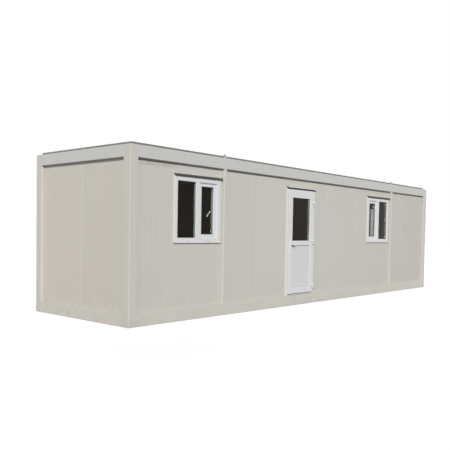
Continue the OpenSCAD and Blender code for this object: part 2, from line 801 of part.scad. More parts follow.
module door_infill() color(plastic) on_front()
  leaf_filling(leaf_z0 + leaf_bar_w, cross_z - cross_rail_h / 2);

module door_glass() color(pane) on_front()
  leaf_filling(cross_z + cross_rail_h / 2, leaf_z1 - leaf_bar_w);

// Door hinges: the lower half of each barrel and its pin are fixed to the frame

module door_hinge_brackets() color(plastic) on_front() for (z = hinge_zs) {
  h = (hinge_h - barrel_gap) / 2;
  translate([hinge_ax, hinge_ay, z - hinge_h / 2]) {
    cylinder(h = h, r = barrel_r);
    cylinder(h = hinge_h - pin_end, r = pin_r);
    translate([-pin_r, 0, 0]) cube([door_x + door_w - hinge_ax + pin_r, pvc_y - hinge_ay, h]);
  }
}

module door_hinge_leaves() color(plastic) on_front() for (z = hinge_zs) {
  h = (hinge_h - barrel_gap) / 2;
  translate([0, 0, z + barrel_gap / 2]) difference() {
    union() {
      translate([hinge_ax, hinge_ay, 0]) cylinder(h = h, r = barrel_r);
      translate([leaf_x1 - hinge_plate_w, leaf_y0 - hinge_plate_t, 0])
        cube([hinge_ax - leaf_x1 + hinge_plate_w, hinge_plate_t, h]);
    }
    translate([hinge_ax, hinge_ay, -cut]) cylinder(h = h + 2 * cut, r = pin_r + pin_fit);
  }
}

// Door handle

module door_handle_plates() color(plastic) on_front() for (y = [leaf_y0 - plate_t, leaf_y1]) difference() {
  translate([lever_ax - plate_w / 2, y, lever_az - plate_foot]) cube([plate_w, plate_t, plate_h]);
  depth_round(lever_ax, lever_az, spindle_r + spindle_fit, y - cut, y + plate_t + cut);
}

// A spindle through the leaf with a grip on each side
module door_lever() color(plastic) on_front() {
  y0 = leaf_y0 - plate_t - lever_reach - lever_t;
  y1 = leaf_y1 + plate_t + lever_reach;
  depth_round(lever_ax, lever_az, spindle_r, y0 + lever_t / 2, y1 + lever_t / 2);
  for (y = [y0, y1]) {
    depth_round(lever_ax, lever_az, lever_h / 2, y, y + lever_t);
    depth_round(lever_ax + lever_l, lever_az, lever_h / 2, y, y + lever_t);
    translate([lever_ax, y, lever_az - lever_h / 2]) cube([lever_l, lever_t, lever_h]);
  }
}

bottom_rail_front();
bottom_rail_back();
bottom_rail_left();
bottom_rail_right();
floor_joists();
floor_deck();
corner_post_front_left();
corner_post_front_right();
corner_post_back_left();
corner_post_back_right();
lifting_posts();
lifting_lugs();
top_rail_front();
top_rail_back();
top_rail_left();
top_rail_right();
ceiling();
roof_sheet();
roof_edge();
front_panels_left();
front_panels_over_door();
front_panels_right();
back_panels();
left_end_panels();
right_end_panels();
window_flashings();
door_flashing();
front_left_window_frame();
front_left_window_sash();
front_left_window_glass();
front_right_window_frame();
front_right_window_sash();
front_right_window_glass();
right_end_window_frame();
right_end_window_sash();
right_end_window_glass();
window_handles();
door_frame();
door_threshold();
door_hinge_brackets();
door_hinge_leaves();
door_leaf();
door_infill();
door_glass();
door_handle_plates();
door_lever();
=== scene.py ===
"""Portable site cabin: finishes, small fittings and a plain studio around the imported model."""

import logging
import math
from collections.abc import Iterable, Sequence
from dataclasses import dataclass, field
from enum import Enum

import bmesh
import bpy
from bmesh.types import BMEdge, BMesh, BMFace, BMVert
from bpy.types import Node, NodeSocket, NodeTree
from mathutils import Matrix, Vector


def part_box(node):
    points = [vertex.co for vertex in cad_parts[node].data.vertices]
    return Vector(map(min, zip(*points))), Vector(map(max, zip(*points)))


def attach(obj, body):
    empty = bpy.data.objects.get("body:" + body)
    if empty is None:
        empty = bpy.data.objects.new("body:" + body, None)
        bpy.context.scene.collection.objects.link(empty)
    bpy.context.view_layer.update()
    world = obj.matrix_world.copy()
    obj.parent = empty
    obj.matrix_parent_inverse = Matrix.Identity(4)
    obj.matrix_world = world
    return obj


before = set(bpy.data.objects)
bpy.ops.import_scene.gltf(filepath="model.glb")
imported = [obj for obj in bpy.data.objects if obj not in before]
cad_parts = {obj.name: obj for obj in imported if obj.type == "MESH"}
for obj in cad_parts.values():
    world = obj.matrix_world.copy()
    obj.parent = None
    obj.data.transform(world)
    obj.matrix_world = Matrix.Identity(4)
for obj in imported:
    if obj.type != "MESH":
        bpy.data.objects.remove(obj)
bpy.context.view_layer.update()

log = logging.getLogger("site_cabin")

Rgb = tuple[float, float, float]
Rgba = tuple[float, float, float, float]
Spot = tuple[float, float, float]
Span = tuple[float, float]
Sockets = dict[str, NodeSocket]
Value = float | Spot | Rgba | NodeSocket
Element = BMVert | BMEdge | BMFace

CABIN_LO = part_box("corner_post_front_left")[0]
CABIN_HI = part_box("corner_post_back_right")[1]
PHOTO_PIXELS = 450.0
SENSOR_MM = 36.0
QUARTER_TURN = math.radians(90)
WHITE: Rgba = (1.0, 1.0, 1.0, 1.0)


def linear(rgb: Rgb) -> Rgba:
    """Turns a display colour into a shader colour by the sRGB curve.

    Args:
        rgb: Red, green and blue on the display scale of 0 to 255.

    Returns:
        The linear colour with full alpha.
    """
    part = [c / 255.0 for c in rgb]
    low = [p / 12.92 if p <= 0.04045 else ((p + 0.055) / 1.055) ** 2.4 for p in part]
    return (low[0], low[1], low[2], 1.0)


class Wall(Enum):
    """A wall, by its left corner as seen from outside and its direction to the right."""

    FRONT = ((CABIN_LO.x, CABIN_LO.y), (1.0, 0.0))
    RIGHT = ((CABIN_HI.x, CABIN_LO.y), (0.0, 1.0))
    BACK = ((CABIN_HI.x, CABIN_HI.y), (-1.0, 0.0))
    LEFT = ((CABIN_LO.x, CABIN_HI.y), (0.0, -1.0))

    @property
    def side(self) -> str:
        """The wall's word in the names of nodes and pieces."""
        return self.name.lower()

    @property
    def matrix(self) -> Matrix:
        """The wall's own frame: x to the right, y inwards from the steel's face, z up."""
        (x, y), (ax, ay) = self.value
        return Matrix(((ax, -ay, 0, x), (ay, ax, 0, y), (0, 0, 1, 0), (0, 0, 0, 1)))

    @property
    def length(self) -> float:
        """Length over the corner posts."""
        size = CABIN_HI - CABIN_LO
        return size.x if self in (Wall.FRONT, Wall.BACK) else size.y

    def box(self, node: str) -> tuple[Vector, Vector]:
        """Gives a node's corners in this wall's frame.

        Args:
            node: Name of the CAD node.

        Returns:
            The lowest and the highest corner.
        """
        back = self.matrix.inverted()
        a, b = (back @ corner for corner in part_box(node))
        return Vector(map(min, a, b)), Vector(map(max, a, b))


class Axis(Enum):
    """A direction of the part's frame or of a wall's frame."""

    X = "X"
    Y = "Y"
    Z = "Z"

    @property
    def other(self) -> "Axis":
        """The level direction across X or Y."""
        return Axis.Y if self is Axis.X else Axis.X


class Body(Enum):
    """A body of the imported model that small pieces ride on."""

    CABIN = "cabin"
    DOOR = "door"


# Shader nodes


class Tree:
    """Short ways to add and join nodes in one shader tree."""

    def __init__(self, tree: NodeTree) -> None:
        """Keeps the tree that the nodes go into."""
        self.tree = tree

    def add(
        self, kind: str, inputs: dict[int | str, Value] | None = None, **settings: object,
    ) -> Node:
        """Adds a node.

        Args:
            kind: Node type without its ShaderNode prefix.
            inputs: Values or sockets by input name or number.
            settings: Properties of the node.

        Returns:
            The new node.
        """
        node = self.tree.nodes.new("ShaderNode" + kind)
        for key, value in settings.items():
            setattr(node, key, value)
        for key, value in (inputs or {}).items():
            self.feed(node.inputs[key], value)
        return node

    def feed(self, socket: NodeSocket, value: Value) -> None:
        """Joins a socket to another one, or sets its value.

        Args:
            socket: The input.
            value: The socket to join it to, or its value.
        """
        if isinstance(value, NodeSocket):
            self.tree.links.new(value, socket)
        else:
            socket.default_value = value

    def math(self, kind: str, *values: Value, clamp: bool = False) -> NodeSocket:
        """Adds a Math node on up to three values and returns its result."""
        node = self.add("Math", dict(enumerate(values)), operation=kind, use_clamp=clamp)
        return node.outputs[0]

    def mix(self, factor: Value, a: Value, b: Value, kind: str = "MIX") -> NodeSocket:
        """Adds a colour mix and returns its result."""
        node = self.add("Mix", {0: factor, 6: a, 7: b}, data_type="RGBA", blend_type=kind)
        return node.outputs[2]

    def grey(self, value: NodeSocket) -> NodeSocket:
        """Turns a value into a grey and returns it."""
        return self.add("CombineColor", {0: value, 1: value, 2: value}).outputs[0]

    def parts(self, vector: NodeSocket) -> Sockets:
        """Splits a vector and returns its values by their letters."""
        return dict(self.add("SeparateXYZ", {0: vector}).outputs.items())

    def stretch(self, vector: NodeSocket, scale: Spot) -> NodeSocket:
        """Scales a vector along each axis and returns it."""
        return self.add("Mapping", {"Vector": vector, "Scale": scale}).outputs[0]

    def noise(self, vector: NodeSocket, scale: Value = 1.0, detail: float = 2.0) -> NodeSocket:
        """Adds a noise texture and returns its value."""
        made = self.add("TexNoise", {"Vector": vector, "Scale": scale, "Detail": detail})
        return made.outputs["Fac"]

    def spread(
        self, value: Value, low: float, high: float, to: tuple[Value, Value] = (0.0, 1.0),
    ) -> NodeSocket:
        """Maps the range from low to high onto another one, with soft ends, and returns it."""
        ranges = {0: value, 1: low, 2: high, 3: to[0], 4: to[1]}
        return self.add("MapRange", ranges, interpolation_type="SMOOTHSTEP").outputs[0]


class Group(Tree):
    """A shader group under construction, with named inputs and outputs."""

    def __init__(self, name: str) -> None:
        """Starts an empty group.

        Args:
            name: Name of the group.
        """
        super().__init__(bpy.data.node_groups.new(name, "ShaderNodeTree"))
        self.source = self.tree.nodes.new("NodeGroupInput")
        self.sink = self.tree.nodes.new("NodeGroupOutput")

    def take(self, name: str, value: float | Rgba | None = None) -> NodeSocket:
        """Adds an input.

        Args:
            name: Name of the input.
            value: Its default: a number, a colour, or None for a vector.

        Returns:
            The socket inside the group.
        """
        kind = "Vector" if value is None else "Float" if isinstance(value, float) else "Color"
        made = self.tree.interface.new_socket(
            name=name, in_out="INPUT", socket_type="NodeSocket" + kind,
        )
        if value is not None:
            made.default_value = value
        return self.source.outputs[name]

    def give(self, name: str, value: NodeSocket, kind: str = "Float") -> None:
        """Adds an output that a socket inside the group feeds.

        Args:
            name: Name of the output.
            value: The socket that feeds it.
            kind: Float or Color.
        """
        self.tree.interface.new_socket(
            name=name, in_out="OUTPUT", socket_type="NodeSocket" + kind,
        )
        self.tree.links.new(value, self.sink.inputs[name])


class Effects:
    """The surface effects that finishes share, each built once as a group."""

    def __init__(self) -> None:
        """Builds the groups."""
        self.weather = self._weather()
        self.relief = self._relief()
        self.edges = self._edges()
        self.panel_tone = self._panel_tone()
        self.spangle = self._spangle()
        self.boards = self._boards()

    @staticmethod
    def _weather() -> NodeTree:
        """Builds slow mottling, faint rain streaks and soil near the ground.

        Returns:
            The group.
        """
        g = Group("weather")
        at = g.take("Vector")
        base = g.take("Base", (0.5, 0.5, 0.5, 1.0))
        soil = g.take("Soil", (0.3, 0.27, 0.22, 1.0))
        mottle = g.take("Mottle", 0.03)
        streaks = g.take("Streaks", 0.1)
        dust = g.take("Dust", 0.2)
        reach = g.take("Reach", 0.4)
        slow = g.math("MULTIPLY_ADD", g.noise(at, scale=1.7, detail=5.0), 2.0, -1.0)
        toned = g.mix(1.0, base, g.grey(g.math("MULTIPLY_ADD", slow, mottle, 1.0)), "MULTIPLY")
        run = g.noise(g.stretch(at, (26.0, 26.0, 0.7)), detail=3.0)
        streak = g.math("MULTIPLY", g.spread(run, 0.55, 0.8), streaks)
        near_ground = {0: g.parts(at)["Z"], 1: 0.0, 2: reach, 3: 1.0, 4: 0.0}
        low = g.math("POWER", g.add("MapRange", near_ground).outputs[0], 1.6)
        low = g.math("MULTIPLY", low, g.spread(g.noise(at, scale=7.0, detail=6.0), 0.25, 0.75))
        grime = g.math("ADD", streak, g.math("MULTIPLY", low, dust), clamp=True)
        g.give("Color", g.mix(grime, toned, soil), "Color")
        return g.tree

    @staticmethod
    def _relief() -> NodeTree:
        """Builds the fine orange peel of sprayed paint or the skin of extruded plastic.

        Returns:
            The group.
        """
        g = Group("fine_relief")
        at = g.take("Vector")
        scale = g.take("Scale", 300.0)
        low = g.take("Low", 0.3)
        high = g.take("High", 0.5)
        patch = g.noise(at, scale=5.0, detail=4.0)
        g.give("Height", g.noise(at, scale=scale))
        g.give("Roughness", g.spread(patch, 0.3, 0.7, (low, high)))
        return g.tree

    @staticmethod
    def _edges() -> NodeTree:
        """Builds a broken mask along outer edges: paint rubbed to bare steel on the lugs, and a
        painted highlight on the frame paints' edges.

        Returns:
            The group.
        """
        g = Group("edge_wear")
        at = g.take("Vector")
        radius = g.take("Radius", 0.004)
        amount = g.take("Amount", 0.5)
        rounded = g.add("Bevel", {"Radius": radius}, samples=4).outputs[0]
        normals = {0: rounded, 1: g.add("NewGeometry").outputs["True Normal"]}
        dot = g.add("VectorMath", normals, operation="DOT_PRODUCT").outputs["Value"]
        broken = g.spread(g.noise(at, scale=40.0, detail=4.0), 0.4, 0.65)
        edge = g.math("MULTIPLY", g.spread(dot, 0.995, 0.85), broken)
        g.give("Mask", g.math("MULTIPLY", edge, amount))
        return g.tree

    @staticmethod
    def _panel_tone() -> NodeTree:
        """Builds a tone for each panel, painted shade in the grooves, darker seams that are part
        dirt and part painted shade, and painted shade that deepens along the wall.

        Returns:
            The group.
        """
        g = Group("panel_tone")
        along = g.take("Along", 0.0)
        start = g.take("Start", 0.0)
        cover = g.take("Cover", 1.15)
        spread = g.take("Spread", 0.02)
        seam_depth = g.take("Seam", 0.2)
        groove_depth = g.take("Groove", 0.05)
        margin = g.take("Margin", 0.025)
        pitch = g.take("Pitch", 0.1)
        fade = g.take("Fade", 0.0)
        place = g.math("DIVIDE", g.math("SUBTRACT", along, start), cover)
        part = g.math("FRACT", place)
        near = g.math("ABSOLUTE", g.math("SUBTRACT", part, 0.5))
        # Seams: darker at each panel joint, part dirt and part painted shade over the joint's lit
        # flank.
        seam = g.math("MULTIPLY", g.spread(near, 0.4955, 0.4975), seam_depth)
        inside = g.math("SUBTRACT", g.math("MULTIPLY", part, cover), margin)
        phase = g.math("FRACT", g.math("ADD", g.math("DIVIDE", inside, pitch), 0.5))
        off = g.math("ABSOLUTE", g.math("SUBTRACT", phase, 0.5))
        # Grooves: painted shade in each rib's groove.
        groove = g.math("MULTIPLY", g.spread(off, 0.085, 0.03), groove_depth)
        number = {"W": g.math("FLOOR", place)}
        pick = g.add("TexWhiteNoise", number, noise_dimensions="1D").outputs["Value"]
        tone = g.math("MULTIPLY_ADD", g.math("SUBTRACT", pick, 0.5), spread, 1.0)
        # Painted shade: darker along the wall from 0 to 5 m.
        falloff_shade = g.math("MULTIPLY", g.spread(along, 0.0, 5.0), fade)
        for loss in (seam, groove, falloff_shade):
            tone = g.math("SUBTRACT", tone, loss)
        g.give("Tone", g.grey(tone), "Color")
        return g.tree

    @staticmethod
    def _spangle() -> NodeTree:
        """Builds the crystal pattern of hot-dip zinc.

        Returns:
            The group.
        """
        g = Group("zinc_spangle")
        at = g.take("Vector")
        scale = g.take("Scale", 70.0)
        cells = g.add("TexVoronoi", {"Vector": at, "Scale": scale}, feature="F1")
        pick = g.add("SeparateColor", {0: cells.outputs["Color"]}).outputs[0]
        g.give("Tone", g.spread(pick, 0.0, 1.0, (0.82, 1.08)))
        g.give("Roughness", g.spread(pick, 0.0, 1.0, (0.7, 0.85)))
        return g.tree

    @staticmethod
    def _boards() -> NodeTree:
        """Builds sheets of board with a fine grain along X and dark joints.

        Returns:
            The group.
        """
        g = Group("board_sheets")
        at = g.take("Vector")
        sheet = g.take("Sheet", 1.22)
        part = g.math("FRACT", g.math("DIVIDE", g.parts(at)["X"], sheet))
        near = g.math("ABSOLUTE", g.math("SUBTRACT", part, 0.5))
        g.give("Grain", g.noise(g.stretch(at, (3.0, 70.0, 70.0)), detail=6.0))
        g.give("Joint", g.spread(near, 0.4965, 0.499))
        return g.tree


EFFECTS = Effects()


class Coat(Tree):
    """The nodes of one finish, with its Principled BSDF and its object coordinates."""

    def __init__(self, tree: NodeTree) -> None:
        """Starts with the shader and the coordinates.

        Args:
            tree: The material's empty tree.
        """
        super().__init__(tree)
        self.shader = self.add("BsdfPrincipled")
        self.at = self.add("TexCoord").outputs["Object"]

    def put(self, **inputs: Value) -> None:
        """Feeds the shader's inputs, which are named with _ for a space."""
        for name, value in inputs.items():
            self.feed(self.shader.inputs[name.replace("_", " ")], value)

    def effect(self, group: NodeTree, **inputs: Value) -> Sockets:
        """Places a shared effect with its inputs by name, and returns its outputs by name."""
        return dict(self.add("Group", inputs, node_tree=group).outputs.items())

    def relief(self, rough: Span, grain: float, depth: float) -> None:
        """Gives the shader a fine relief and a patchy roughness.

        Args:
            rough: Lowest and highest roughness.
            grain: Scale of the relief.
            depth: Depth of the relief in metres.
        """
        low, high = rough
        fine = self.effect(EFFECTS.relief, Vector=self.at, Scale=grain, Low=low, High=high)
        height = {"Strength": 0.6, "Distance": depth, "Height": fine["Height"]}
        self.put(Roughness=fine["Roughness"], Normal=self.add("Bump", height).outputs[0])


def clear_tree(owner: bpy.types.Material | bpy.types.World) -> NodeTree:
    """Empties the node tree of a new material or world.

    Args:
        owner: The material or the world.

    Returns:
        Its empty tree.
    """
    owner.use_nodes = True
    owner.node_tree.nodes.clear()
    return owner.node_tree


# Finishes


@dataclass(frozen=True)
class Finish:
    """A finish with its colour, slot in the record, roughness, and grain and depth of relief."""

    name: str
    colour: Rgb
    slot: str | None = None
    rough: Span = (0.35, 0.5)
    grain: float = 0.0
    depth: float = 0.0

    def material(self) -> bpy.types.Material:
        """Gives the finish's material, and makes it the first time.

        Returns:
            The material.
        """
        made = bpy.data.materials.get(self.name)
        if made is None:
            made = bpy.data.materials.new(self.name)
            coat = Coat(clear_tree(made))
            coat.add("OutputMaterial", {"Surface": self.surface(coat)})
            self.shade(coat)
            if self.depth:
                coat.relief(self.rough, self.grain, self.depth)
        return made

    def shade(self, coat: Coat) -> None:
        """Feeds the shader; each kind of finish has its own way."""
        raise NotImplementedError

    def surface(self, coat: Coat) -> NodeSocket:
        """Gives the socket that feeds the material's surface."""
        return coat.shader.outputs[0]


@dataclass(frozen=True)
class Stain:
    """A faint trail of soil on the front wall's outside, by its end along X and its levels."""

    outside: float = -1.12
    end: Span = (-3.95, -4.2)
    level: Span = (2.318, 2.345)
    soil: Rgb = (150, 148, 143)
    amount: Span = (0.162, 0.36)

    def lay(self, coat: Coat, base: Value) -> NodeSocket:
        """Lays the trail over a colour.

        Args:
            coat: The finish's nodes.
            base: The colour below.

        Returns:
            The stained colour.
        """
        part = coat.parts(coat.at)
        broken = coat.noise(coat.stretch(coat.at, (9.0, 1.0, 30.0)), detail=3.0)
        mask = coat.spread(broken, 0.3, 0.6, self.amount)
        for share in (
            coat.math("LESS_THAN", part["Y"], self.outside),
            coat.spread(part["X"], *self.end),
            coat.spread(part["Z"], *self.level),
        ):
            mask = coat.math("MULTIPLY", mask, share)
        return coat.mix(mask, base, linear(self.soil))


@dataclass(frozen=True)
class Paint(Finish):
    """Sprayed or coil-coated paint on steel, with light weather and a painted highlight: its edges
    painted a little paler.
    """

    soil: Rgb = (150, 138, 118)
    mottle: float = 0.018
    streaks: float = 0.05
    dust: float = 0.16
    reach: float = 0.5
    gloss: float = 0.06
    grain: float = 420.0
    depth: float = 0.00012
    # edge: a paler colour along the edges, a painted highlight where the bends catch the light.
    edge: Rgb | None = None
    edge_radius: float = 0.005
    edge_highlight_amount: float = 0.7
    upper: Rgb | None = None
    upper_at: float = 0.0

    def base(self, coat: Coat) -> Value:
        """Gives the colour below the weather, with another one above a level where it has one.

        Args:
            coat: The finish's nodes.

        Returns:
            The colour or its socket.
        """
        # Two tones by height; on the flashings the paler lower tone is partly a painted highlight.
        if self.upper is None:
            return linear(self.colour)
        above = coat.math("GREATER_THAN", coat.parts(coat.at)["Z"], self.upper_at)
        return coat.mix(above, linear(self.colour), linear(self.upper))

    def shade(self, coat: Coat) -> None:
        """Feeds the shader with the weathered paint.

        Args:
            coat: The finish's nodes.
        """
        at = coat.at
        colour = coat.effect(
            EFFECTS.weather, Vector=at, Base=self.base(coat), Soil=linear(self.soil),
            Mottle=self.mottle, Streaks=self.streaks, Dust=self.dust, Reach=self.reach,
        )["Color"]
        # Painted highlight: the edges are mixed towards the paler edge colour.
        if self.edge is not None:
            edge_highlight_settings = {"Radius": self.edge_radius, "Amount": self.edge_highlight_amount}
            edge_mask = coat.effect(EFFECTS.edges, Vector=at, **edge_highlight_settings)["Mask"]
            colour = coat.mix(edge_mask, colour, linear(self.edge))
        coat.put(Base_Color=colour, Specular_IOR_Level=self.gloss)


@dataclass(frozen=True)
class PanelSkin(Paint):
    """The paint of a wall's panels, which follow one another along an axis from a first joint."""

    streaks: float = 0.07
    reach: float = 0.9
    axis: Axis = Axis.X
    start: float = 0.0
    spread: float = 0.012
    # seam and groove set the painted shade at the joints and in the grooves, the seams partly
    # dirt.
    seam: float = 0.08
    groove: float = 0.06
    # How much painted shade deepens along the wall.
    fade: float = 0.0
    inner: Rgb = (206, 168, 122)
    inner_at: float = 0.0
    stain: Stain | None = None

    def base(self, coat: Coat) -> Value:
        """Gives each panel its tone and painted shade, and the skin towards the room its own
        colour.

        Args:
            coat: The finish's nodes.

        Returns:
            The colour's socket.
        """
        part = coat.parts(coat.at)
        tone = coat.effect(
            EFFECTS.panel_tone, Along=part[self.axis.value], Start=self.start,
            Spread=self.spread, Seam=self.seam, Groove=self.groove, Fade=self.fade,
        )["Tone"]
        base = coat.mix(1.0, linear(self.colour), tone, "MULTIPLY")
        depth = coat.math("ABSOLUTE", part[self.axis.other.value])
        base = coat.mix(coat.math("LESS_THAN", depth, self.inner_at), base, linear(self.inner))
        return self.stain.lay(coat, base) if self.stain else base


@dataclass(frozen=True)
class Plastic(Finish):
    """Extruded or moulded plastic with a soft sheen and a trace of grime."""

    soil: Rgb = (140, 134, 122)
    mottle: float = 0.006
    grime: float = 0.006
    grain: float = 900.0
    depth: float = 0.00004

    def shade(self, coat: Coat) -> None:
        """Feeds the shader with nearly even plastic.

        Args:
            coat: The finish's nodes.
        """
        weather = coat.effect(
            EFFECTS.weather, Vector=coat.at, Base=linear(self.colour), Soil=linear(self.soil),
            Mottle=self.mottle, Streaks=self.grime, Dust=0.0,
        )
        coat.put(Base_Color=weather["Color"])


@dataclass(frozen=True)
class Zinc(Finish):
    """Hot-dip zinc with its crystal pattern, dulled by weather."""

    scale: float = 70.0
    metallic: float = 0.15
    gloss: float = 0.2

    def shade(self, coat: Coat) -> None:
        """Feeds the shader with the crystals' tone.

        Args:
            coat: The finish's nodes.
        """
        cells = coat.effect(EFFECTS.spangle, Vector=coat.at, Scale=self.scale)
        colour = coat.mix(1.0, linear(self.colour), coat.grey(cells["Tone"]), "MULTIPLY")
        coat.put(Base_Color=colour, Roughness=cells["Roughness"])
        coat.put(Metallic=self.metallic, Specular_IOR_Level=self.gloss)


@dataclass(frozen=True)
class WornSteel(Finish):
    """Thick paint that is rubbed to bare steel along its edges and near its tip."""

    bare: Rgb = (96, 90, 84)
    tip: Span = (2.622, 2.640)
    tip_amount: float = 0.75
    scuff_amount: float = 0.6
    edge_radius: float = 0.008
    grain: float = 260.0
    depth: float = 0.0003

    def shade(self, coat: Coat) -> None:
        """Feeds the shader with paint and bare steel.

        Args:
            coat: The finish's nodes.
        """
        at = coat.at
        edge_mask = coat.effect(EFFECTS.edges, Vector=at, Radius=self.edge_radius, Amount=1.0)["Mask"]
        scuff = coat.spread(coat.noise(at, scale=55.0, detail=5.0), 0.52, 0.66)
        scuff = coat.math("MULTIPLY", scuff, self.scuff_amount)
        height = coat.spread(coat.parts(at)["Z"], *self.tip)
        rubbed = coat.math("MULTIPLY", height, self.tip_amount)
        mask = coat.math("MAXIMUM", coat.math("ADD", edge_mask, scuff, clamp=True), rubbed)
        coat.put(Base_Color=coat.mix(mask, linear(self.colour), linear(self.bare)))


@dataclass(frozen=True)
class Board(Finish):
    """Sealed board in sheets, with a darker grain."""

    darker: float = 0.72
    joint: Rgb = (40, 32, 24)
    grain: float = 180.0
    depth: float = 0.0003

    def shade(self, coat: Coat) -> None:
        """Feeds the shader with grain and joints.

        Args:
            coat: The finish's nodes.
        """
        sheets = coat.effect(EFFECTS.boards, Vector=coat.at)
        dark = linear(tuple(self.darker * c for c in self.colour))
        colour = coat.mix(coat.spread(sheets["Grain"], 0.35, 0.7), linear(self.colour), dark)
        coat.put(Base_Color=coat.mix(sheets["Joint"], colour, linear(self.joint)))


@dataclass(frozen=True)
class BrushedAluminium(Finish):
    """Extruded aluminium with drawing lines along X."""

    line: Rgb = (184, 185, 186)
    metallic: float = 0.7

    def shade(self, coat: Coat) -> None:
        """Feeds the shader with the drawing lines.

        Args:
            coat: The finish's nodes.
        """
        lines = coat.noise(coat.stretch(coat.at, (8.0, 900.0, 900.0)), detail=3.0)
        colour = coat.mix(coat.spread(lines, 0.2, 0.8), linear(self.colour), linear(self.line))
        coat.put(Base_Color=colour, Roughness=coat.spread(lines, 0.2, 0.8, self.rough))
        coat.put(Metallic=self.metallic)


@dataclass(frozen=True)
class Rubber(Finish):
    """Soft sealing rubber with a pale bloom."""

    rough: Span = (0.5, 0.7)
    bloom: float = 22.0
    grain: float = 700.0
    depth: float = 0.0001

    def shade(self, coat: Coat) -> None:
        """Feeds the shader with rubber and its bloom.

        Args:
            coat: The finish's nodes.
        """
        patch = coat.spread(coat.noise(coat.at, scale=30.0, detail=4.0), 0.35, 0.75)
        pale = linear(tuple(min(255.0, c + self.bloom) for c in self.colour))
        coat.put(Base_Color=coat.mix(patch, linear(self.colour), pale))


@dataclass(frozen=True)
class Glass(Finish):
    """A clear sealed pane with a trace of dust, which lets the lamps' light into the cabin."""

    rough: Span = (0.0, 0.02)
    clear: Rgb = (245, 246, 244)
    ior: float = 1.16

    def surface(self, coat: Coat) -> NodeSocket:
        """Gives the socket that feeds the surface: clear for light on its way to a lamp.

        Args:
            coat: The finish's nodes.

        Returns:
            The mixed shader's output.
        """
        clear = coat.add("BsdfTransparent", {"Color": linear(self.clear)}).outputs[0]
        shadow = coat.add("LightPath").outputs["Is Shadow Ray"]
        return coat.add("MixShader", {0: shadow, 1: coat.shader.outputs[0], 2: clear}).outputs[0]

    def shade(self, coat: Coat) -> None:
        """Feeds the shader with clear glass and patches of dust.

        Args:
            coat: The finish's nodes.
        """
        patch = coat.noise(coat.at, scale=4.0, detail=5.0)
        coat.put(Base_Color=linear(self.colour), Transmission_Weight=1.0, IOR=self.ior)
        coat.put(Roughness=coat.spread(patch, 0.45, 0.8, self.rough))


STEEL_SHEEN: Span = (0.38, 0.5)
PANEL_SHEEN: Span = (0.42, 0.55)
# The paler edge colours of the frame paints are a painted highlight along the bends.
FRAME_PAINT = Paint(
    "frame_coat", (195, 192, 185), "frame_paint", STEEL_SHEEN, edge=(199, 196, 189),
)
# A paler copy of the frame paint: painted light on the bottom rails.
BOTTOM_RAIL_PAINTED_LIGHT = Paint(
    "bottom_rail_coat", (198, 195, 188), "frame_paint", STEEL_SHEEN, edge=(202, 199, 192),
)
# A cooler copy of the frame paint: a painted reflection of the sky on the top rails.
TOP_RAIL_PAINTED_SKY = Paint(
    "top_rail_coat", (193, 193, 190), "frame_paint", STEEL_SHEEN, edge=(198, 198, 195),
)
# The long walls darken along X by painted shade.
PANEL_LONG = PanelSkin(
    "panel_skin_long", (195, 192, 186), "panel_skin", PANEL_SHEEN,
    start=-4.42, fade=0.085, inner_at=1.1065, stain=Stain(),
)
PANEL_END = PanelSkin(
    "panel_skin_end", (195, 191, 183), "panel_skin", PANEL_SHEEN, axis=Axis.Y, inner_at=4.8865,
)
# Paler than the walls below upper_at, part the trims' own paint and part a painted highlight on
# the drips; the upstand above has the walls' tone.
FLASHING = Paint(
    "flashing_coat", (208, 206, 200), "flashing_paint", (0.36, 0.48),
    dust=0.05, upper=(190, 188, 182), upper_at=2.2625,
)
ROOF_EDGE = Paint(
    "roof_edge_coat", (122, 123, 119), "roof_edge_grey", (0.5, 0.65), mottle=0.06, dust=0.0,
)
LINING = Paint(
    "lining_coat", (229, 227, 222), "ceiling_lining", (0.5, 0.65), streaks=0.0, dust=0.0,
)
LUG_STEEL = WornSteel("lug_coat", (190, 187, 180), "lug_steel", (0.45, 0.65))
GALVANISED = Zinc("hot_dip_zinc", (168, 172, 174), "galvanised")
BOARD = Board("sealed_board", (148, 124, 96), "floor_board", (0.35, 0.55))
WHITE_PLASTIC = Plastic("window_plastic", (207, 207, 209), "white_plastic", (0.26, 0.38))
INFILL_PLASTIC = Plastic("infill_plastic", (200, 200, 201), "white_plastic", (0.28, 0.4))
WHITE_HARDWARE = Plastic(
    "hardware_plastic", (218, 218, 217), "white_hardware", (0.22, 0.34), grime=0.01,
)
SEALANT = Plastic("sealant", (204, 203, 199), "white_plastic", (0.4, 0.55), grime=0.06)
# Dark plastic for the hinges' lower caps and bushings: painted shade.
HINGE_SHADE_PLASTIC = Plastic("dark_bushing", (50, 50, 52), None, (0.4, 0.55))
ALUMINIUM = BrushedAluminium(
    "mill_aluminium", (214, 214, 213), "threshold_aluminium", (0.32, 0.5),
)
LOCK_METAL = BrushedAluminium("lock_metal", (176, 174, 168), None, (0.25, 0.4))
GLASS = Glass("sealed_pane", (197, 199, 194), "clear_glass")
SEAL = Rubber("sealing_rubber", (38, 38, 39))
PALE_SEAL = Rubber("pale_sealing_rubber", (150, 150, 149))
# A brownish dark strip on the window drips' lips: painted shade.
DRIP_PAINTED_SHADE = Rubber("drip_trim_rubber", (62, 58, 50))


# Meshes


DRESSED: set[str] = set()
SOFT_EDGE = 0.0012
JOIN_WITHIN = 0.00002
FLAT_WITHIN = math.radians(0.5)
SHARP_FROM = math.radians(32)
SQUARE_FROM = 1.0


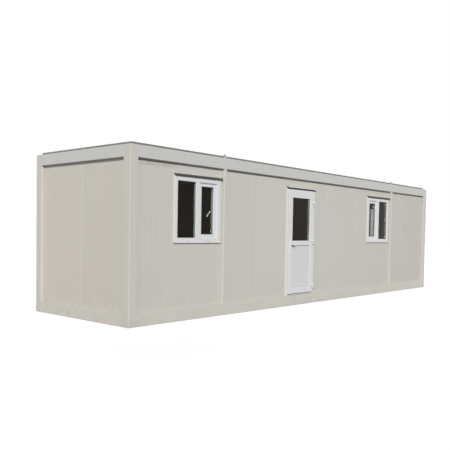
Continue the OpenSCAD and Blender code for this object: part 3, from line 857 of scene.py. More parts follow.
def soften_edges(node: bpy.types.Object, width: float) -> None:
    """Joins a CAD node's loose triangles and rounds its sharp edges, by modifiers.

    Args:
        node: The node's object.
        width: Width of the rounding in metres.
    """
    weld = node.modifiers.new("join", "WELD")
    weld.merge_threshold = JOIN_WITHIN
    flat = node.modifiers.new("flat", "DECIMATE")
    flat.decimate_type, flat.angle_limit = "DISSOLVE", FLAT_WITHIN
    edge = node.modifiers.new("edge", "BEVEL")
    edge.width, edge.segments, edge.profile = width, 2, 0.5
    edge.limit_method, edge.angle_limit = "ANGLE", SHARP_FROM


def dress(nodes: Iterable[str], finish: Finish, soften: float = 0.0) -> None:
    """Gives CAD nodes their finish.

    Args:
        nodes: Names of the nodes.
        finish: Their finish.
        soften: Width of the rounding of their edges in metres, or 0 for none.
    """
    for name in nodes:
        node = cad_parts[name]
        node.data.materials.clear()
        node.data.materials.append(finish.material())
        if soften:
            soften_edges(node, soften)
        DRESSED.add(name)
        log.info("dressed %s in %s", name, finish.name)


def put_in_scene(name: str, data: bpy.types.ID) -> bpy.types.Object:
    """Makes an object and links it into the scene.

    Args:
        name: Name of the object.
        data: Its mesh, lamp or camera.

    Returns:
        The object.
    """
    made = bpy.data.objects.new(name, data)
    bpy.context.scene.collection.objects.link(made)
    return made


def make_object(name: str, bm: BMesh, material: bpy.types.Material) -> bpy.types.Object:
    """Turns a finished bmesh into an object in the scene.

    Args:
        name: Name of the object and of its mesh.
        bm: The mesh, which is freed.
        material: Its material.

    Returns:
        The object.
    """
    mesh = bpy.data.meshes.new(name)
    bm.to_mesh(mesh)
    bm.free()
    mesh.materials.append(material)
    return put_in_scene(name, mesh)


def make_piece(
    name: str, bm: BMesh, finish: Finish, wall: Wall | None = None, body: Body = Body.CABIN,
) -> None:
    """Turns a finished bmesh into a piece that rides on a body.

    Args:
        name: Name of the piece.
        bm: Its mesh, which is freed.
        finish: Its finish.
        wall: The wall in whose frame it was drawn, or None for the part's own.
        body: The body that carries it.
    """
    if wall is not None:
        bmesh.ops.transform(bm, matrix=wall.matrix, verts=bm.verts)
    bmesh.ops.recalc_face_normals(bm, faces=bm.faces)
    piece = make_object(name, bm, finish.material())
    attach(piece, body.value)
    log.info("made %s with %d faces on %s", name, len(piece.data.polygons), body.value)


def steps(start: float, end: float, count: int) -> list[float]:
    """Gives evenly spaced values from start to end."""
    return [start + (end - start) * i / (count - 1) for i in range(count)]


def outwards(lo: float, hi: float) -> tuple[Span, Span]:
    """Gives both ends of a stretch, each with the sign of the way out."""
    return (lo, -1.0), (hi, 1.0)


def ends(start: float, way: float, reach: Span) -> list[float]:
    """Gives the two ends, in order, of a reach that is measured from a place one way."""
    return sorted(start + way * step for step in reach)


def edges_of(verts: Iterable[BMVert]) -> list[BMEdge]:
    """Gives the edges that meet some vertices, in a steady order."""
    return list(dict.fromkeys(edge for vert in verts for edge in vert.link_edges))


def verts_in(geom: Iterable[Element]) -> list[BMVert]:
    """Picks the vertices out of a mixed list."""
    return [item for item in geom if isinstance(item, BMVert)]


def everything(bm: BMesh) -> list[Element]:
    """Gives all vertices, edges and faces of a mesh."""
    return bm.verts[:] + bm.edges[:] + bm.faces[:]


def is_cap(face: BMFace) -> bool:
    """Tells a drum's cap from its sides, which have four corners each."""
    return len(face.verts) > 4


def round_edges(bm: BMesh, edges: Sequence[BMEdge], size: float, segments: int = 2) -> None:
    """Rounds edges of a bmesh by a size in metres."""
    bmesh.ops.bevel(
        bm, geom=list(edges), offset=size, offset_type="OFFSET", segments=segments, profile=0.5,
        affect="EDGES", clamp_overlap=True, material=-1,
    )


@dataclass(frozen=True)
class Bar:
    """A bar by its lowest and highest corner and the rounding of its edges."""

    lo: Spot
    hi: Spot
    rounding: float = 0.0

    def facing(self, way: float) -> "Bar":
        """Gives the bar for a face that looks along Y, or its mirror image for the other way.

        Args:
            way: 1 for a face that looks along Y, -1 for the other way.

        Returns:
            The bar.
        """
        near, far = ends(0.0, way, (self.lo[1], self.hi[1]))
        lo, hi = (self.lo[0], near, self.lo[2]), (self.hi[0], far, self.hi[2])
        return Bar(lo, hi, self.rounding)

    def add(self, bm: BMesh, at: Spot = (0.0, 0.0, 0.0), to: Spot | None = None) -> list[BMVert]:
        """Adds the bar to a mesh.

        Args:
            bm: The mesh.
            at: The point that its lowest corner is measured from.
            to: The point that its highest corner is measured from, if it is another one.

        Returns:
            Its vertices before the rounding.
        """
        a = Vector([p + c for p, c in zip(at, self.lo)])
        b = Vector([p + c for p, c in zip(to or at, self.hi)])
        verts = bmesh.ops.create_cube(bm, size=1.0)["verts"]
        bmesh.ops.scale(bm, vec=b - a, verts=verts)
        bmesh.ops.translate(bm, vec=(a + b) / 2, verts=verts)
        if self.rounding:
            round_edges(bm, edges_of(verts), self.rounding)
        return verts


@dataclass(frozen=True)
class Drum:
    """A short drum or prism by its radius, length, lift, sides and the rounding of its rims."""

    radius: float
    length: float
    lift: float = 0.0
    sides: int = 24
    rounding: float = 0.0

    def add(self, bm: BMesh, at: Spot, axis: Axis, way: float = 1.0) -> list[BMVert]:
        """Adds the drum to a mesh.

        Args:
            bm: The mesh.
            at: The point that its middle is lifted from.
            axis: The direction that it lies along.
            way: 1 to lift it along that direction, -1 for the other way.

        Returns:
            Its vertices before the rounding.
        """
        verts = bmesh.ops.create_cone(
            bm, cap_ends=True, cap_tris=False, segments=self.sides,
            radius1=self.radius, radius2=self.radius, depth=self.length,
        )["verts"]
        if axis is not Axis.Z:
            turn = Matrix.Rotation(QUARTER_TURN, 3, axis.other.value)
            bmesh.ops.rotate(bm, matrix=turn, verts=verts)
        middle = [c + way * self.lift * (axis is each) for c, each in zip(at, Axis)]
        bmesh.ops.translate(bm, vec=middle, verts=verts)
        if self.rounding:
            rims = [edge for edge in edges_of(verts) if any(map(is_cap, edge.link_faces))]
            round_edges(bm, rims, self.rounding)
        return verts


def add_ring(bm: BMesh, lo: Spot, hi: Spot, width: float, rounding: float = 0.0) -> None:
    """Adds a rectangular ring that lies in a wall.

    Args:
        bm: The mesh.
        lo: Lowest corner over the ring.
        hi: Highest corner over the ring.
        width: Width of its bars.
        rounding: Rounding of its front edges.
    """
    a, b = Vector(lo), Vector(hi)
    verts = bmesh.ops.create_grid(bm, x_segments=1, y_segments=1, size=0.5)["verts"]
    bmesh.ops.rotate(bm, matrix=Matrix.Rotation(QUARTER_TURN, 3, "X"), verts=verts)
    bmesh.ops.scale(bm, vec=(b.x - a.x, 1.0, b.z - a.z), verts=verts)
    bmesh.ops.translate(bm, vec=((a.x + b.x) / 2, b.y, (a.z + b.z) / 2), verts=verts)
    middle = verts[0].link_faces[0]
    ring = bmesh.ops.inset_region(
        bm, faces=[middle], thickness=width, use_even_offset=True, use_boundary=True,
    )["faces"]
    bmesh.ops.delete(bm, geom=[middle], context="FACES_KEEP_BOUNDARY")
    front = verts_in(bmesh.ops.extrude_face_region(bm, geom=ring)["geom"])
    bmesh.ops.translate(bm, vec=(0, a.y - b.y, 0), verts=front)
    if rounding:
        chosen = set(front)
        rim = [edge for edge in edges_of(front) if chosen.issuperset(edge.verts)]
        square = [
            edge for edge in rim
            if len(edge.link_faces) == 2 and edge.calc_face_angle(0.0) > SQUARE_FROM
        ]
        round_edges(bm, square, rounding)


def stamp(bm: BMesh, spots: Sequence[Spot]) -> None:
    """Repeats everything in a mesh at several spots, and leaves nothing at its first place.

    Args:
        bm: The mesh.
        spots: The way from the first place to each spot.
    """
    first = everything(bm)
    for spot in spots:
        copy = bmesh.ops.duplicate(bm, geom=first)["geom"]
        bmesh.ops.translate(bm, vec=spot, verts=verts_in(copy))
    bmesh.ops.delete(bm, geom=verts_in(first), context="VERTS")


# Sub-assemblies


@dataclass
class SteelFrame:
    """The rails, posts and lifting points, with their weld seams."""

    bend: float = 0.008
    seam_back: float = 0.0004
    seam_rounding: float = 0.0003
    lug_depth: Span = (0.030, 0.042)
    lug_from_end: float = 2.0
    bead: Drum = Drum(0.0045, 0.056, sides=8)
    ripples: int = 12
    swell: float = 1.22

    def build(self) -> None:
        """Dresses the steel and adds its welds."""
        corners = [f"corner_post_{y}_{x}" for y in ("front", "back") for x in ("left", "right")]
        dress([*corners, "lifting_posts"], FRAME_PAINT)
        dress(["bottom_rail_" + wall.side for wall in Wall], BOTTOM_RAIL_PAINTED_LIGHT)
        dress(["top_rail_" + wall.side for wall in Wall], TOP_RAIL_PAINTED_SKY)
        dress(["lifting_lugs"], LUG_STEEL)
        dress(["floor_joists"], GALVANISED)
        self.seams()
        self.lug_welds()

    def seams(self) -> None:
        """Fills the bend of each post where a rail is welded to it, ground nearly flush."""
        for wall in Wall:
            bm = bmesh.new()
            for rail in ("bottom_rail_", "top_rail_"):
                lo, hi = wall.box(rail + wall.side)
                for edge, way in outwards(lo.x, hi.x):
                    left, right = ends(edge, way, (0.0, self.bend))
                    foot = (left, self.seam_back, lo.z + self.bend)
                    head = (right, self.bend, hi.z - self.bend)
                    Bar(foot, head, self.seam_rounding).add(bm)
            make_piece("weld_seams_" + wall.side, bm, FRAME_PAINT, wall)

    def lug_welds(self) -> None:
        """Runs a rippled bead along both feet of each lifting lug."""
        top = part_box("top_rail_front")[1].z
        long = self.bead.length
        for wall in (Wall.FRONT, Wall.BACK):
            bm = bmesh.new()
            self.bead.add(bm, (0, 0, 0), Axis.X)
            lines = [edge for edge in bm.edges if edge.calc_length() > long / 2]
            bmesh.ops.subdivide_edges(bm, edges=lines, cuts=self.ripples - 1)
            raised = [v for v in bm.verts if round((v.co.x / long + 0.5) * self.ripples) % 2]
            bmesh.ops.scale(bm, vec=(1.0, self.swell, self.swell), verts=raised)
            middles = (self.lug_from_end, wall.length - self.lug_from_end)
            stamp(bm, [(middle, depth, top) for middle in middles for depth in self.lug_depth])
            make_piece("lug_welds_" + wall.side, bm, LUG_STEEL, wall)


@dataclass
class Walls:
    """The sandwich panels of the walls and the floor between them."""

    front: tuple[str, ...] = ("left", "over_door", "right")
    short: tuple[str, ...] = ("left", "right")

    def build(self) -> None:
        """Dresses the panels of the four walls and the floor."""
        dress(["front_panels_" + place for place in self.front], PANEL_LONG)
        dress(["back_panels"], PANEL_LONG)
        dress([f"{place}_end_panels" for place in self.short], PANEL_END)
        dress(["floor_deck"], BOARD)


@dataclass
class Roof:
    """The roof sheet and its edge flashing, with screws and lap joints."""

    ribs: int = 39
    end_screws: int = 9
    end_margin: float = 0.25
    screw_in: float = 0.07
    washer: Drum = Drum(0.009, 0.0016, lift=0.0008, sides=12)
    head: Drum = Drum(0.0052, 0.0050, lift=0.0040, sides=6, rounding=0.0006)
    laps: int = 3
    lap_every: float = 2.47
    lap_top: Bar = Bar((-0.03, -0.11, 0.0), (0.03, 0.0012, 0.0012), 0.0004)
    lap_skin: Bar = Bar((-0.03, 0.0, 0.001), (0.03, 0.0012, 0.0), 0.0004)
    lo: Vector = field(init=False)
    hi: Vector = field(init=False)

    def __post_init__(self) -> None:
        """Takes the roof's place from its edge."""
        self.lo, self.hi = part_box("roof_edge")

    def build(self) -> None:
        """Dresses the roof and adds its fittings."""
        dress(["roof_sheet"], GALVANISED)
        dress(["roof_edge"], ROOF_EDGE)
        dress(["ceiling"], LINING)
        self.screws()
        self.edge_laps()

    def screws(self) -> None:
        """Sets a screw with a washer at both ends of each rib and along the two short sides."""
        lo, hi, inset = self.lo, self.hi, self.screw_in
        bm = bmesh.new()
        for part in (self.washer, self.head):
            part.add(bm, (0, 0, 0), Axis.Z)
        pitch = (hi.x - lo.x) / self.ribs
        spots: list[Spot] = []
        for i in range(self.ribs):
            x = lo.x + (i + 0.5) * pitch
            spots += [(x, y, hi.z) for y in (lo.y + inset, hi.y - inset)]
        for y in steps(lo.y + self.end_margin, hi.y - self.end_margin, self.end_screws):
            spots += [(x, y, hi.z) for x in (lo.x + inset, hi.x - inset)]
        stamp(bm, spots)
        make_piece("roof_screws", bm, GALVANISED)

    def edge_laps(self) -> None:
        """Laps the lengths of the roof's edge over one another on both long sides."""
        bm = bmesh.new()
        for i in range(1, self.laps + 1):
            x = self.lo.x + i * self.lap_every
            for face, way in outwards(self.lo.y, self.hi.y):
                foot, head = (x, face, self.lo.z), (x, face, self.hi.z)
                self.lap_top.facing(way).add(bm, head)
                self.lap_skin.facing(way).add(bm, foot, head)
        make_piece("roof_edge_laps", bm, ROOF_EDGE)


@dataclass
class Flashing:
    """The rivets that hold the flashings of one opening, and at its head a sealing tape and a dark
    strip on the drip's lip, whose colours are painted shade under the drip.
    """

    wall: Wall
    opening: str
    with_lip_shade: bool = True
    skin: float = 0.0525
    strip: float = 0.03
    leg: float = 0.066
    rivet: Spot = (0.004, 0.0016, 0.004)
    rivet_foot: float = 0.05
    rivet_every: float = 0.27
    rivet_margin: float = 0.06
    fewest_rows: int = 4
    head_rivets: int = 5
    # The tape is a real seal whose colour is painted shade; the strip on the lip is only painted
    # shade.
    tape_and_shade: Bar = Bar((0.0, 0.001, 0.0), (0.0, 0.0, 0.026), 0.002)
    trim: Bar = Bar((-0.0355, -0.0012, 0.0268), (0.0355, 0.0004, 0.0412), 0.0005)
    lo: Vector = field(init=False)
    hi: Vector = field(init=False)

    def __post_init__(self) -> None:
        """Takes the opening's place from its frame."""
        self.lo, self.hi = self.wall.box(self.opening + "_frame")

    def build(self) -> None:
        """Adds the rivets, the sealing tape in a colour that paints the drip's shade and, where it
        has one, a dark strip of painted shade on the drip's lip.
        """
        lo, hi = self.lo, self.hi
        self.rivets()
        bm = bmesh.new()
        self.tape_and_shade.add(bm, (lo.x, lo.y, hi.z), (hi.x, self.skin, hi.z))
        # Painted shade: a pale grey tape under the window drips, a dark one under the door's.
        tape_shade_finish = PALE_SEAL if self.with_lip_shade else SEAL
        make_piece(self.opening + "_head_tape", bm, tape_shade_finish, self.wall)
        if self.with_lip_shade:
            face = self.wall.box("window_flashings")[0].y
            bm = bmesh.new()
            self.trim.add(bm, (lo.x, face, hi.z), (hi.x, face, hi.z))
            make_piece(self.opening + "_drip_trim", bm, DRIP_PAINTED_SHADE, self.wall)

    def rivets(self) -> None:
        """Adds blind rivets with domed heads along both sides and the head."""
        lo, hi = self.lo, self.hi
        rows = max(self.fewest_rows, round((hi.z - lo.z) / self.rivet_every))
        columns = (lo.x - self.strip / 2, hi.x + self.strip / 2)
        spots: list[Spot] = []
        for z in steps(lo.z + self.rivet_margin, hi.z - self.rivet_margin, rows):
            spots += [(u, self.skin, z) for u in columns]
        top = hi.z + self.leg
        spots += [(u, self.skin, top) for u in steps(lo.x, hi.x, self.head_rivets)]
        bm = bmesh.new()
        ball = bmesh.ops.create_uvsphere(bm, u_segments=10, v_segments=6, radius=1.0)["verts"]
        bmesh.ops.rotate(bm, matrix=Matrix.Rotation(QUARTER_TURN, 3, "X"), verts=ball)
        cut = bmesh.ops.bisect_plane(
            bm, geom=everything(bm), plane_co=(0, self.rivet_foot, 0), plane_no=(0, 1, 0),
            clear_outer=True,
        )["geom_cut"]
        bmesh.ops.edgeloop_fill(bm, edges=[item for item in cut if isinstance(item, BMEdge)])
        bmesh.ops.scale(bm, vec=self.rivet, verts=bm.verts)
        stamp(bm, spots)
        make_piece(self.opening + "_rivets", bm, FLASHING, self.wall)


@dataclass(frozen=True)
class PaneSeal:
    """The rubber around a pane or an infill, outside and inside."""

    size: float = 0.0045
    rounding: float = 0.0012
    pane: float = 0.0214

    def lay(self, bm: BMesh, along: Span, up: Span, front: float) -> None:
        """Lays a ring on both faces of a pane.

        Args:
            bm: The mesh.
            along: Left and right edge of the opening.
            up: Lower and upper edge of the opening.
            front: Depth of the pane's outer face.
        """
        (left, right), (low, high), back = along, up, front + self.pane
        outer = (left, front - self.size, low), (right, front, high)
        inner = (left, back, low), (right, back + self.size, high)
        add_ring(bm, *outer, self.size, self.rounding)
        add_ring(bm, *inner, self.size)


@dataclass(frozen=True)
class WeldLines:
    """The fine raised lines where mitred plastic bars are welded."""

    start: float = 0.004
    depth: Span = (-0.0003, 0.0006)
    half: float = 0.0007

    def lay(self, bm: BMesh, along: Span, up: Span, width: float, face: float) -> None:
        """Lays four lines from the outer corners of a frame inwards.

        Args:
            bm: The mesh.
            along: Left and right edge of the frame.
            up: Lower and upper edge of the frame.
            width: Width of the bars that the lines cross.
            face: Depth of the bars' face.
        """
        (left, right), (low, high), (near, far) = along, up, self.depth
        end = width * math.sqrt(2)
        for u, z, degrees in (
            (left, low, -45), (right, low, -135), (right, high, 135), (left, high, 45),
        ):
            verts = Bar((self.start, near, -self.half), (end, far, self.half)).add(bm)
            turn = Matrix.Rotation(math.radians(degrees), 3, "Y")
            bmesh.ops.rotate(bm, matrix=turn, verts=verts)
            bmesh.ops.translate(bm, vec=(u, face, z), verts=verts)


@dataclass
class Window:
    """A plastic window with a fixed light and a sash, its seals, drain caps and weld lines."""

    name: str
    wall: Wall
    sash_right: bool
    bar: float = 0.062
    block: float = 0.050
    mullion: float = 0.087
    lip: float = 0.012
    sash_in: float = 0.069
    sash_edge: float = 0.004
    sash_face: float = 0.0213
    fixed_glass: float = 0.0213
    sash_glass: float = 0.0426
    weld_short: float = 0.003
    drains: Span = (0.275, 0.745)
    drain_up: float = 0.0175
    hood: Bar = Bar((-0.017, -0.006, -0.005), (0.017, 0.001, 0.006))
    hood_slope: Spot = (0, 0.0015, 0.0025)
    hood_rounding: float = 0.0012
    slot: Bar = Bar((-0.021, -0.0012, -0.0105), (0.021, 0.001, -0.0050), 0.0004)
    bead_width: float = 0.005
    bead_depth: Span = (0.0485, 0.0525)
    bead_ends: Span = (0.002, 0.001)
    bead_rounding: float = 0.0035
    lo: Vector = field(init=False)
    hi: Vector = field(init=False)

    def __post_init__(self) -> None:
        """Takes the window's place from its frame."""
        self.lo, self.hi = self.wall.box(self.name + "_frame")

    def build(self) -> None:
        """Dresses the window and adds its fittings."""
        dress([self.name + "_frame", self.name + "_sash"], WHITE_PLASTIC, SOFT_EDGE)
        dress([self.name + "_glass"], GLASS)
        self.seals()
        self.drain_caps()
        self.weld_lines()
        self.sealant()
        Flashing(self.wall, self.name).build()

    def lights(self) -> tuple[Span, Span]:
        """Finds the openings of the fixed light and of the sash.

        Returns:
            The left and right ends of the fixed opening and of the sash's glass opening.
        """
        middle = (self.lo.x + self.hi.x) / 2
        left = (self.lo.x + self.bar, middle - self.mullion / 2)
        right = (middle + self.mullion / 2, self.hi.x - self.bar)
        fixed, moving = (left, right) if self.sash_right else (right, left)
        inset = self.sash_in - self.lip
        return fixed, (moving[0] + inset, moving[1] - inset)

    def seals(self) -> None:
        """Adds the rubber seals around both panes."""
        fixed, sash = self.lights()
        bm = bmesh.new()
        for along, up, glass in (
            (fixed, self.bar, self.fixed_glass),
            (sash, self.block + self.sash_in, self.sash_glass),
        ):
            PaneSeal().lay(bm, along, (self.lo.z + up, self.hi.z - up), self.lo.y + glass)
        make_piece(self.name + "_seals", bm, SEAL, self.wall)

    def drain_caps(self) -> None:
        """Adds the drain slots of the bottom bar, drawn as black bars that paint the shade in the
        openings, and the sloping hoods over them.
        """
        caps, slots = bmesh.new(), bmesh.new()
        face, z = self.lo.y, self.lo.z + self.drain_up
        for along in self.drains:
            at = (self.lo.x + along, face, z)
            hood = self.hood.add(caps, at)
            low = [vert for vert in hood if vert.co.z < z and vert.co.y < face]
            bmesh.ops.translate(caps, vec=self.hood_slope, verts=low)
            round_edges(caps, edges_of(hood), self.hood_rounding)
            # Painted shade: each slot is a black bar where the opening is in shade.
            self.slot.add(slots, at)
        make_piece(self.name + "_drain_caps", caps, WHITE_HARDWARE, self.wall)
        make_piece(self.name + "_drain_slots", slots, SEAL, self.wall)

    def weld_lines(self) -> None:
        """Adds the weld lines at the corners of the frame and of the sash."""
        lo, hi, sash = self.lo, self.hi, self.lights()[1]
        bm = bmesh.new()
        width = self.bar - self.weld_short
        WeldLines().lay(bm, (lo.x, hi.x), (lo.z, hi.z), width, lo.y)
        width = self.sash_in - self.sash_edge
        rise = self.block + self.sash_in
        along = (sash[0] - width, sash[1] + width)
        up = (lo.z + rise - width, hi.z - rise + width)
        WeldLines().lay(bm, along, up, width - self.weld_short, lo.y + self.sash_face)
        make_piece(self.name + "_weld_lines", bm, WHITE_PLASTIC, self.wall)

    def sealant(self) -> None:
        """Adds a bead of sealant between the frame and its side flashings."""
        (near, far), (low, high) = self.bead_depth, self.bead_ends
        middle, half = (near + far) / 2, self.bead_width / 2
        bm = bmesh.new()
        for edge, way in outwards(self.lo.x, self.hi.x):
            left, right = ends(edge, way, (0.0, self.bead_width))
            foot, head = (left, near, self.lo.z + low), (right, far, self.hi.z - high)
            outer = [
                line for line in edges_of(Bar(foot, head).add(bm))
                if all(v.co.y < middle and abs(v.co.x - edge) > half for v in line.verts)
            ]
            round_edges(bm, outer, self.bead_rounding, segments=3)
        make_piece(self.name + "_sealant", bm, SEALANT, self.wall)


@dataclass
class Door:
    """The half-glazed door with its frame, seals, hinges and lock."""

    wall: Wall = Wall.FRONT
    leaf_bar: float = 0.122
    weld_short: float = 0.004
    glass_face: float = 0.0203
    groove: float = 0.010
    threshold_edge: float = 0.0008
    stop: Span = (0.046, 0.061)
    stop_face: float = 0.055
    stop_thick: float = 0.004
    stop_up: float = 0.002
    stop_rounding: float = 0.001
    lever_up: float = 0.170
    lock_below: float = 0.092
    cylinder: Drum = Drum(0.0085, 0.005, lift=0.0015, rounding=0.0008)
    tail: Bar = Bar((-0.005, -0.001, -0.021), (0.005, 0.003, -0.004), 0.0008)
    # A dark ring around the cylinder: painted shade.
    shade_ring: Drum = Drum(0.0118, 0.0030, lift=0.0005, rounding=0.0005)
    keyway: Bar = Bar((-0.0009, 0.0030, -0.004), (0.0009, 0.0043, 0.005))
    screw: Drum = Drum(0.0034, 0.0024, lift=0.0002, sides=16)
    recess_share: float = 0.45
    recess_depth: float = 0.0009
    plate_screw_in: float = 0.012
    hinge_screws: tuple[Span, ...] = ((0.028, 0.013), (0.012, 0.034))
    hinge_plate: float = 0.007
    hinge_low: float = 0.048
    hinge_middle: float = 0.998
    hinge_top: float = 0.040
    pin_in: float = 0.009
    barrel_half: float = 0.048
    upper_cap: Drum = Drum(0.0096, 0.0034, lift=0.0018, rounding=0.0010)
    lower_cap: Drum = Drum(0.0096, 0.0090, lift=0.0044, rounding=0.0012)
    bushing: Drum = Drum(0.0099, 0.0070, lift=0.0045, rounding=0.0006)
    # A dark strip under each hinge plate: painted shade.
    plate_shade: Bar = Bar((-0.040, -0.0065, -0.0070), (-0.002, 0.0005, 0.0012), 0.0006)
    foot: Bar = Bar((0.004, 0.002, -0.0085), (-0.004, 0.010, 0.0005), 0.0008)
    ribs: int = 4
    rib_start: float = 0.012
    rib_every: float = 0.011
    rib: Bar = Bar((0.002, 0.0, -0.001), (-0.002, 0.004, 0.0016), 0.0007)
    lo: Vector = field(init=False)
    hi: Vector = field(init=False)

    def __post_init__(self) -> None:
        """Takes the leaf's place."""
        self.lo, self.hi = self.wall.box("door_leaf")

    def build(self) -> None:
        """Dresses the door and adds its fittings."""
        dress(["door_frame", "door_leaf"], WHITE_PLASTIC, SOFT_EDGE)
        dress(["door_infill"], INFILL_PLASTIC)
        dress(["door_glass"], GLASS)
        hardware = ("hinge_brackets", "hinge_leaves", "handle_plates", "lever")
        dress(["door_" + part for part in hardware], WHITE_HARDWARE, SOFT_EDGE)
        dress(["door_threshold"], ALUMINIUM, self.threshold_edge)
        dress(["door_flashing"], FLASHING)
        self.filling_seals()
        self.stop_seal()
        self.weld_lines()
        self.lock()
        self.screws()
        self.hinge_caps()
        self.foot_seal()
        self.threshold_ribs()
        Flashing(self.wall, "door", with_lip_shade=False).build()

    def filling_seals(self) -> None:
        """Adds the rubber seals around the pane and the infill."""
        along = (self.lo.x + self.leaf_bar, self.hi.x - self.leaf_bar)
        for node, finish in (("door_glass", SEAL), ("door_infill", PALE_SEAL)):
            lo, hi = self.wall.box(node)
            up = (lo.z + self.groove, hi.z - self.groove)
            bm = bmesh.new()
            PaneSeal().lay(bm, along, up, self.lo.y + self.glass_face)
            make_piece(node + "_seals", bm, finish, self.wall, Body.DOOR)

    def stop_seal(self) -> None:
        """Adds the seal that the closed leaf presses on."""
        lo, hi = self.wall.box("door_frame")
        low = self.wall.box("door_threshold")[1].z + self.stop_up
        a, b = self.stop
        back = lo.y + self.stop_face
        front, top = back - self.stop_thick, hi.z - a
        bm = bmesh.new()
        for left, right, foot in (
            (lo.x + a, lo.x + b, low), (hi.x - b, hi.x - a, low), (lo.x + b, hi.x - b, hi.z - b),
        ):
            Bar((left, front, foot), (right, back, top), self.stop_rounding).add(bm)
        make_piece("door_stop_seal", bm, SEAL, self.wall)

    def weld_lines(self) -> None:
        """Adds the weld lines at the corners of the leaf."""
        lo, hi = self.lo, self.hi
        bm = bmesh.new()
        width = self.leaf_bar - self.weld_short
        WeldLines().lay(bm, (lo.x, hi.x), (lo.z, hi.z), width, lo.y)
        make_piece("door_leaf_weld_lines", bm, WHITE_PLASTIC, self.wall, Body.DOOR)

    def lock(self) -> None:
        """Adds a key cylinder below the lever on both handle plates, with a dark keyway and a dark
        ring around the cylinder, the ring painted shade.
        """
        lo, hi = self.wall.box("door_handle_plates")
        metal, dark = bmesh.new(), bmesh.new()
        for face, way in outwards(lo.y, hi.y):
            at = ((lo.x + hi.x) / 2, face, lo.z + self.lever_up - self.lock_below)
            self.cylinder.add(metal, at, Axis.Y, way)
            self.tail.facing(way).add(metal, at)
            # Painted shade: a dark ring around each cylinder.
            self.shade_ring.add(dark, at, Axis.Y, way)
            self.keyway.facing(way).add(dark, at)
        make_piece("door_lock_cylinder", metal, LOCK_METAL, self.wall, Body.DOOR)
        make_piece("door_lock_keyway", dark, SEAL, self.wall, Body.DOOR)

    def screws(self) -> None:
        """Adds the screws of the handle plates and of the hinge leaves."""
        bm = bmesh.new()
        lo, hi = self.wall.box("door_handle_plates")
        for face, way in outwards(lo.y, hi.y):
            for z in (lo.z + self.plate_screw_in, hi.z - self.plate_screw_in):
                self.screw_head(bm, ((lo.x + hi.x) / 2, face, z), way)
        face = self.wall.box("door_hinge_leaves")[0].y + self.hinge_plate
        for z in self.hinge_levels():
            for along, up in self.hinge_screws:
                self.screw_head(bm, (self.hi.x - along, face, z + up), -1.0)
        make_piece("door_screws", bm, LOCK_METAL, self.wall, Body.DOOR)

    def screw_head(self, bm: BMesh, at: Spot, way: float) -> None:
        """Adds one screw head with a round recess.

        Args:
            bm: The mesh.
            at: Its place on the face that it sits on.
            way: -1 on the outer side, 1 on the inner side.
        """
        verts = self.screw.add(bm, at, Axis.Y, way)
        faces = dict.fromkeys(face for vert in verts for face in vert.link_faces)
        cap = max(filter(is_cap, faces), key=lambda item: item.calc_center_median().y * way)
        bmesh.ops.inset_region(
            bm, faces=[cap], thickness=self.screw.radius * self.recess_share,
            depth=-self.recess_depth, use_even_offset=True,
        )

    def hinge_levels(self) -> tuple[float, float, float]:
        """Gives the middle levels of the three hinges."""
        lo, hi = self.wall.box("door_hinge_brackets")
        return lo.z + self.hinge_low, self.lo.z + self.hinge_middle, hi.z - self.hinge_top

    def hinge_caps(self) -> None:
        """Adds the caps and bushings of the hinge barrels, the lower caps and bushings dark as
        painted shade, and a dark strip of painted shade under each hinge plate.
        """
        lo = self.wall.box("door_hinge_brackets")[0]
        u, v, half = lo.x + self.pin_in, lo.y + self.pin_in, self.barrel_half
        upper, lower, plate_shades = bmesh.new(), bmesh.new(), bmesh.new()
        for z in self.hinge_levels():
            self.upper_cap.add(upper, (u, v, z + half), Axis.Z)
            # Painted shade: dark lower caps and bushings at each barrel's joint and foot, and a
            # dark strip under each plate.
            self.lower_cap.add(lower, (u, v, z - half), Axis.Z, -1.0)
            self.bushing.add(lower, (u, v, z), Axis.Z, -1.0)
            self.plate_shade.add(plate_shades, (self.hi.x, self.lo.y, z))
        make_piece("door_hinge_caps_upper", upper, WHITE_HARDWARE, self.wall, Body.DOOR)
        make_piece("door_hinge_caps_lower", lower, HINGE_SHADE_PLASTIC, self.wall)
        make_piece("door_hinge_gaskets", plate_shades, SEAL, self.wall, Body.DOOR)

    def foot_seal(self) -> None:
        """Adds the sealing strip under the leaf; it is black, part seal and part painted shade
        under the leaf's edge.
        """
        lo, hi = self.lo, self.hi
        bm = bmesh.new()
        self.foot.add(bm, (lo.x, lo.y, lo.z), (hi.x, lo.y, lo.z))
        make_piece("door_foot_seal", bm, SEAL, self.wall, Body.DOOR)

    def threshold_ribs(self) -> None:
        """Adds the grip ribs on the threshold."""
        lo, hi = self.wall.box("door_threshold")
        bm = bmesh.new()
        for i in range(self.ribs):
            v = lo.y + self.rib_start + i * self.rib_every
            self.rib.add(bm, (lo.x, v, hi.z), (hi.x, v, hi.z))
        make_piece("door_threshold_ribs", bm, ALUMINIUM, self.wall)


@dataclass(frozen=True)
class Lamp:
    """A distant lamp with the way its light travels and how wide it looks, in degrees."""

    name: str
    way: Spot
    strength: float
    colour: Spot
    softness: float

    def build(self) -> None:
        """Makes the lamp."""
        data = bpy.data.lights.new(self.name, "SUN")
        data.energy = self.strength
        data.color = self.colour
        data.angle = math.radians(self.softness)
        lamp = put_in_scene(self.name, data)
        lamp.rotation_mode = "QUATERNION"
        lamp.rotation_quaternion = Vector(self.way).to_track_quat("-Z", "Y")


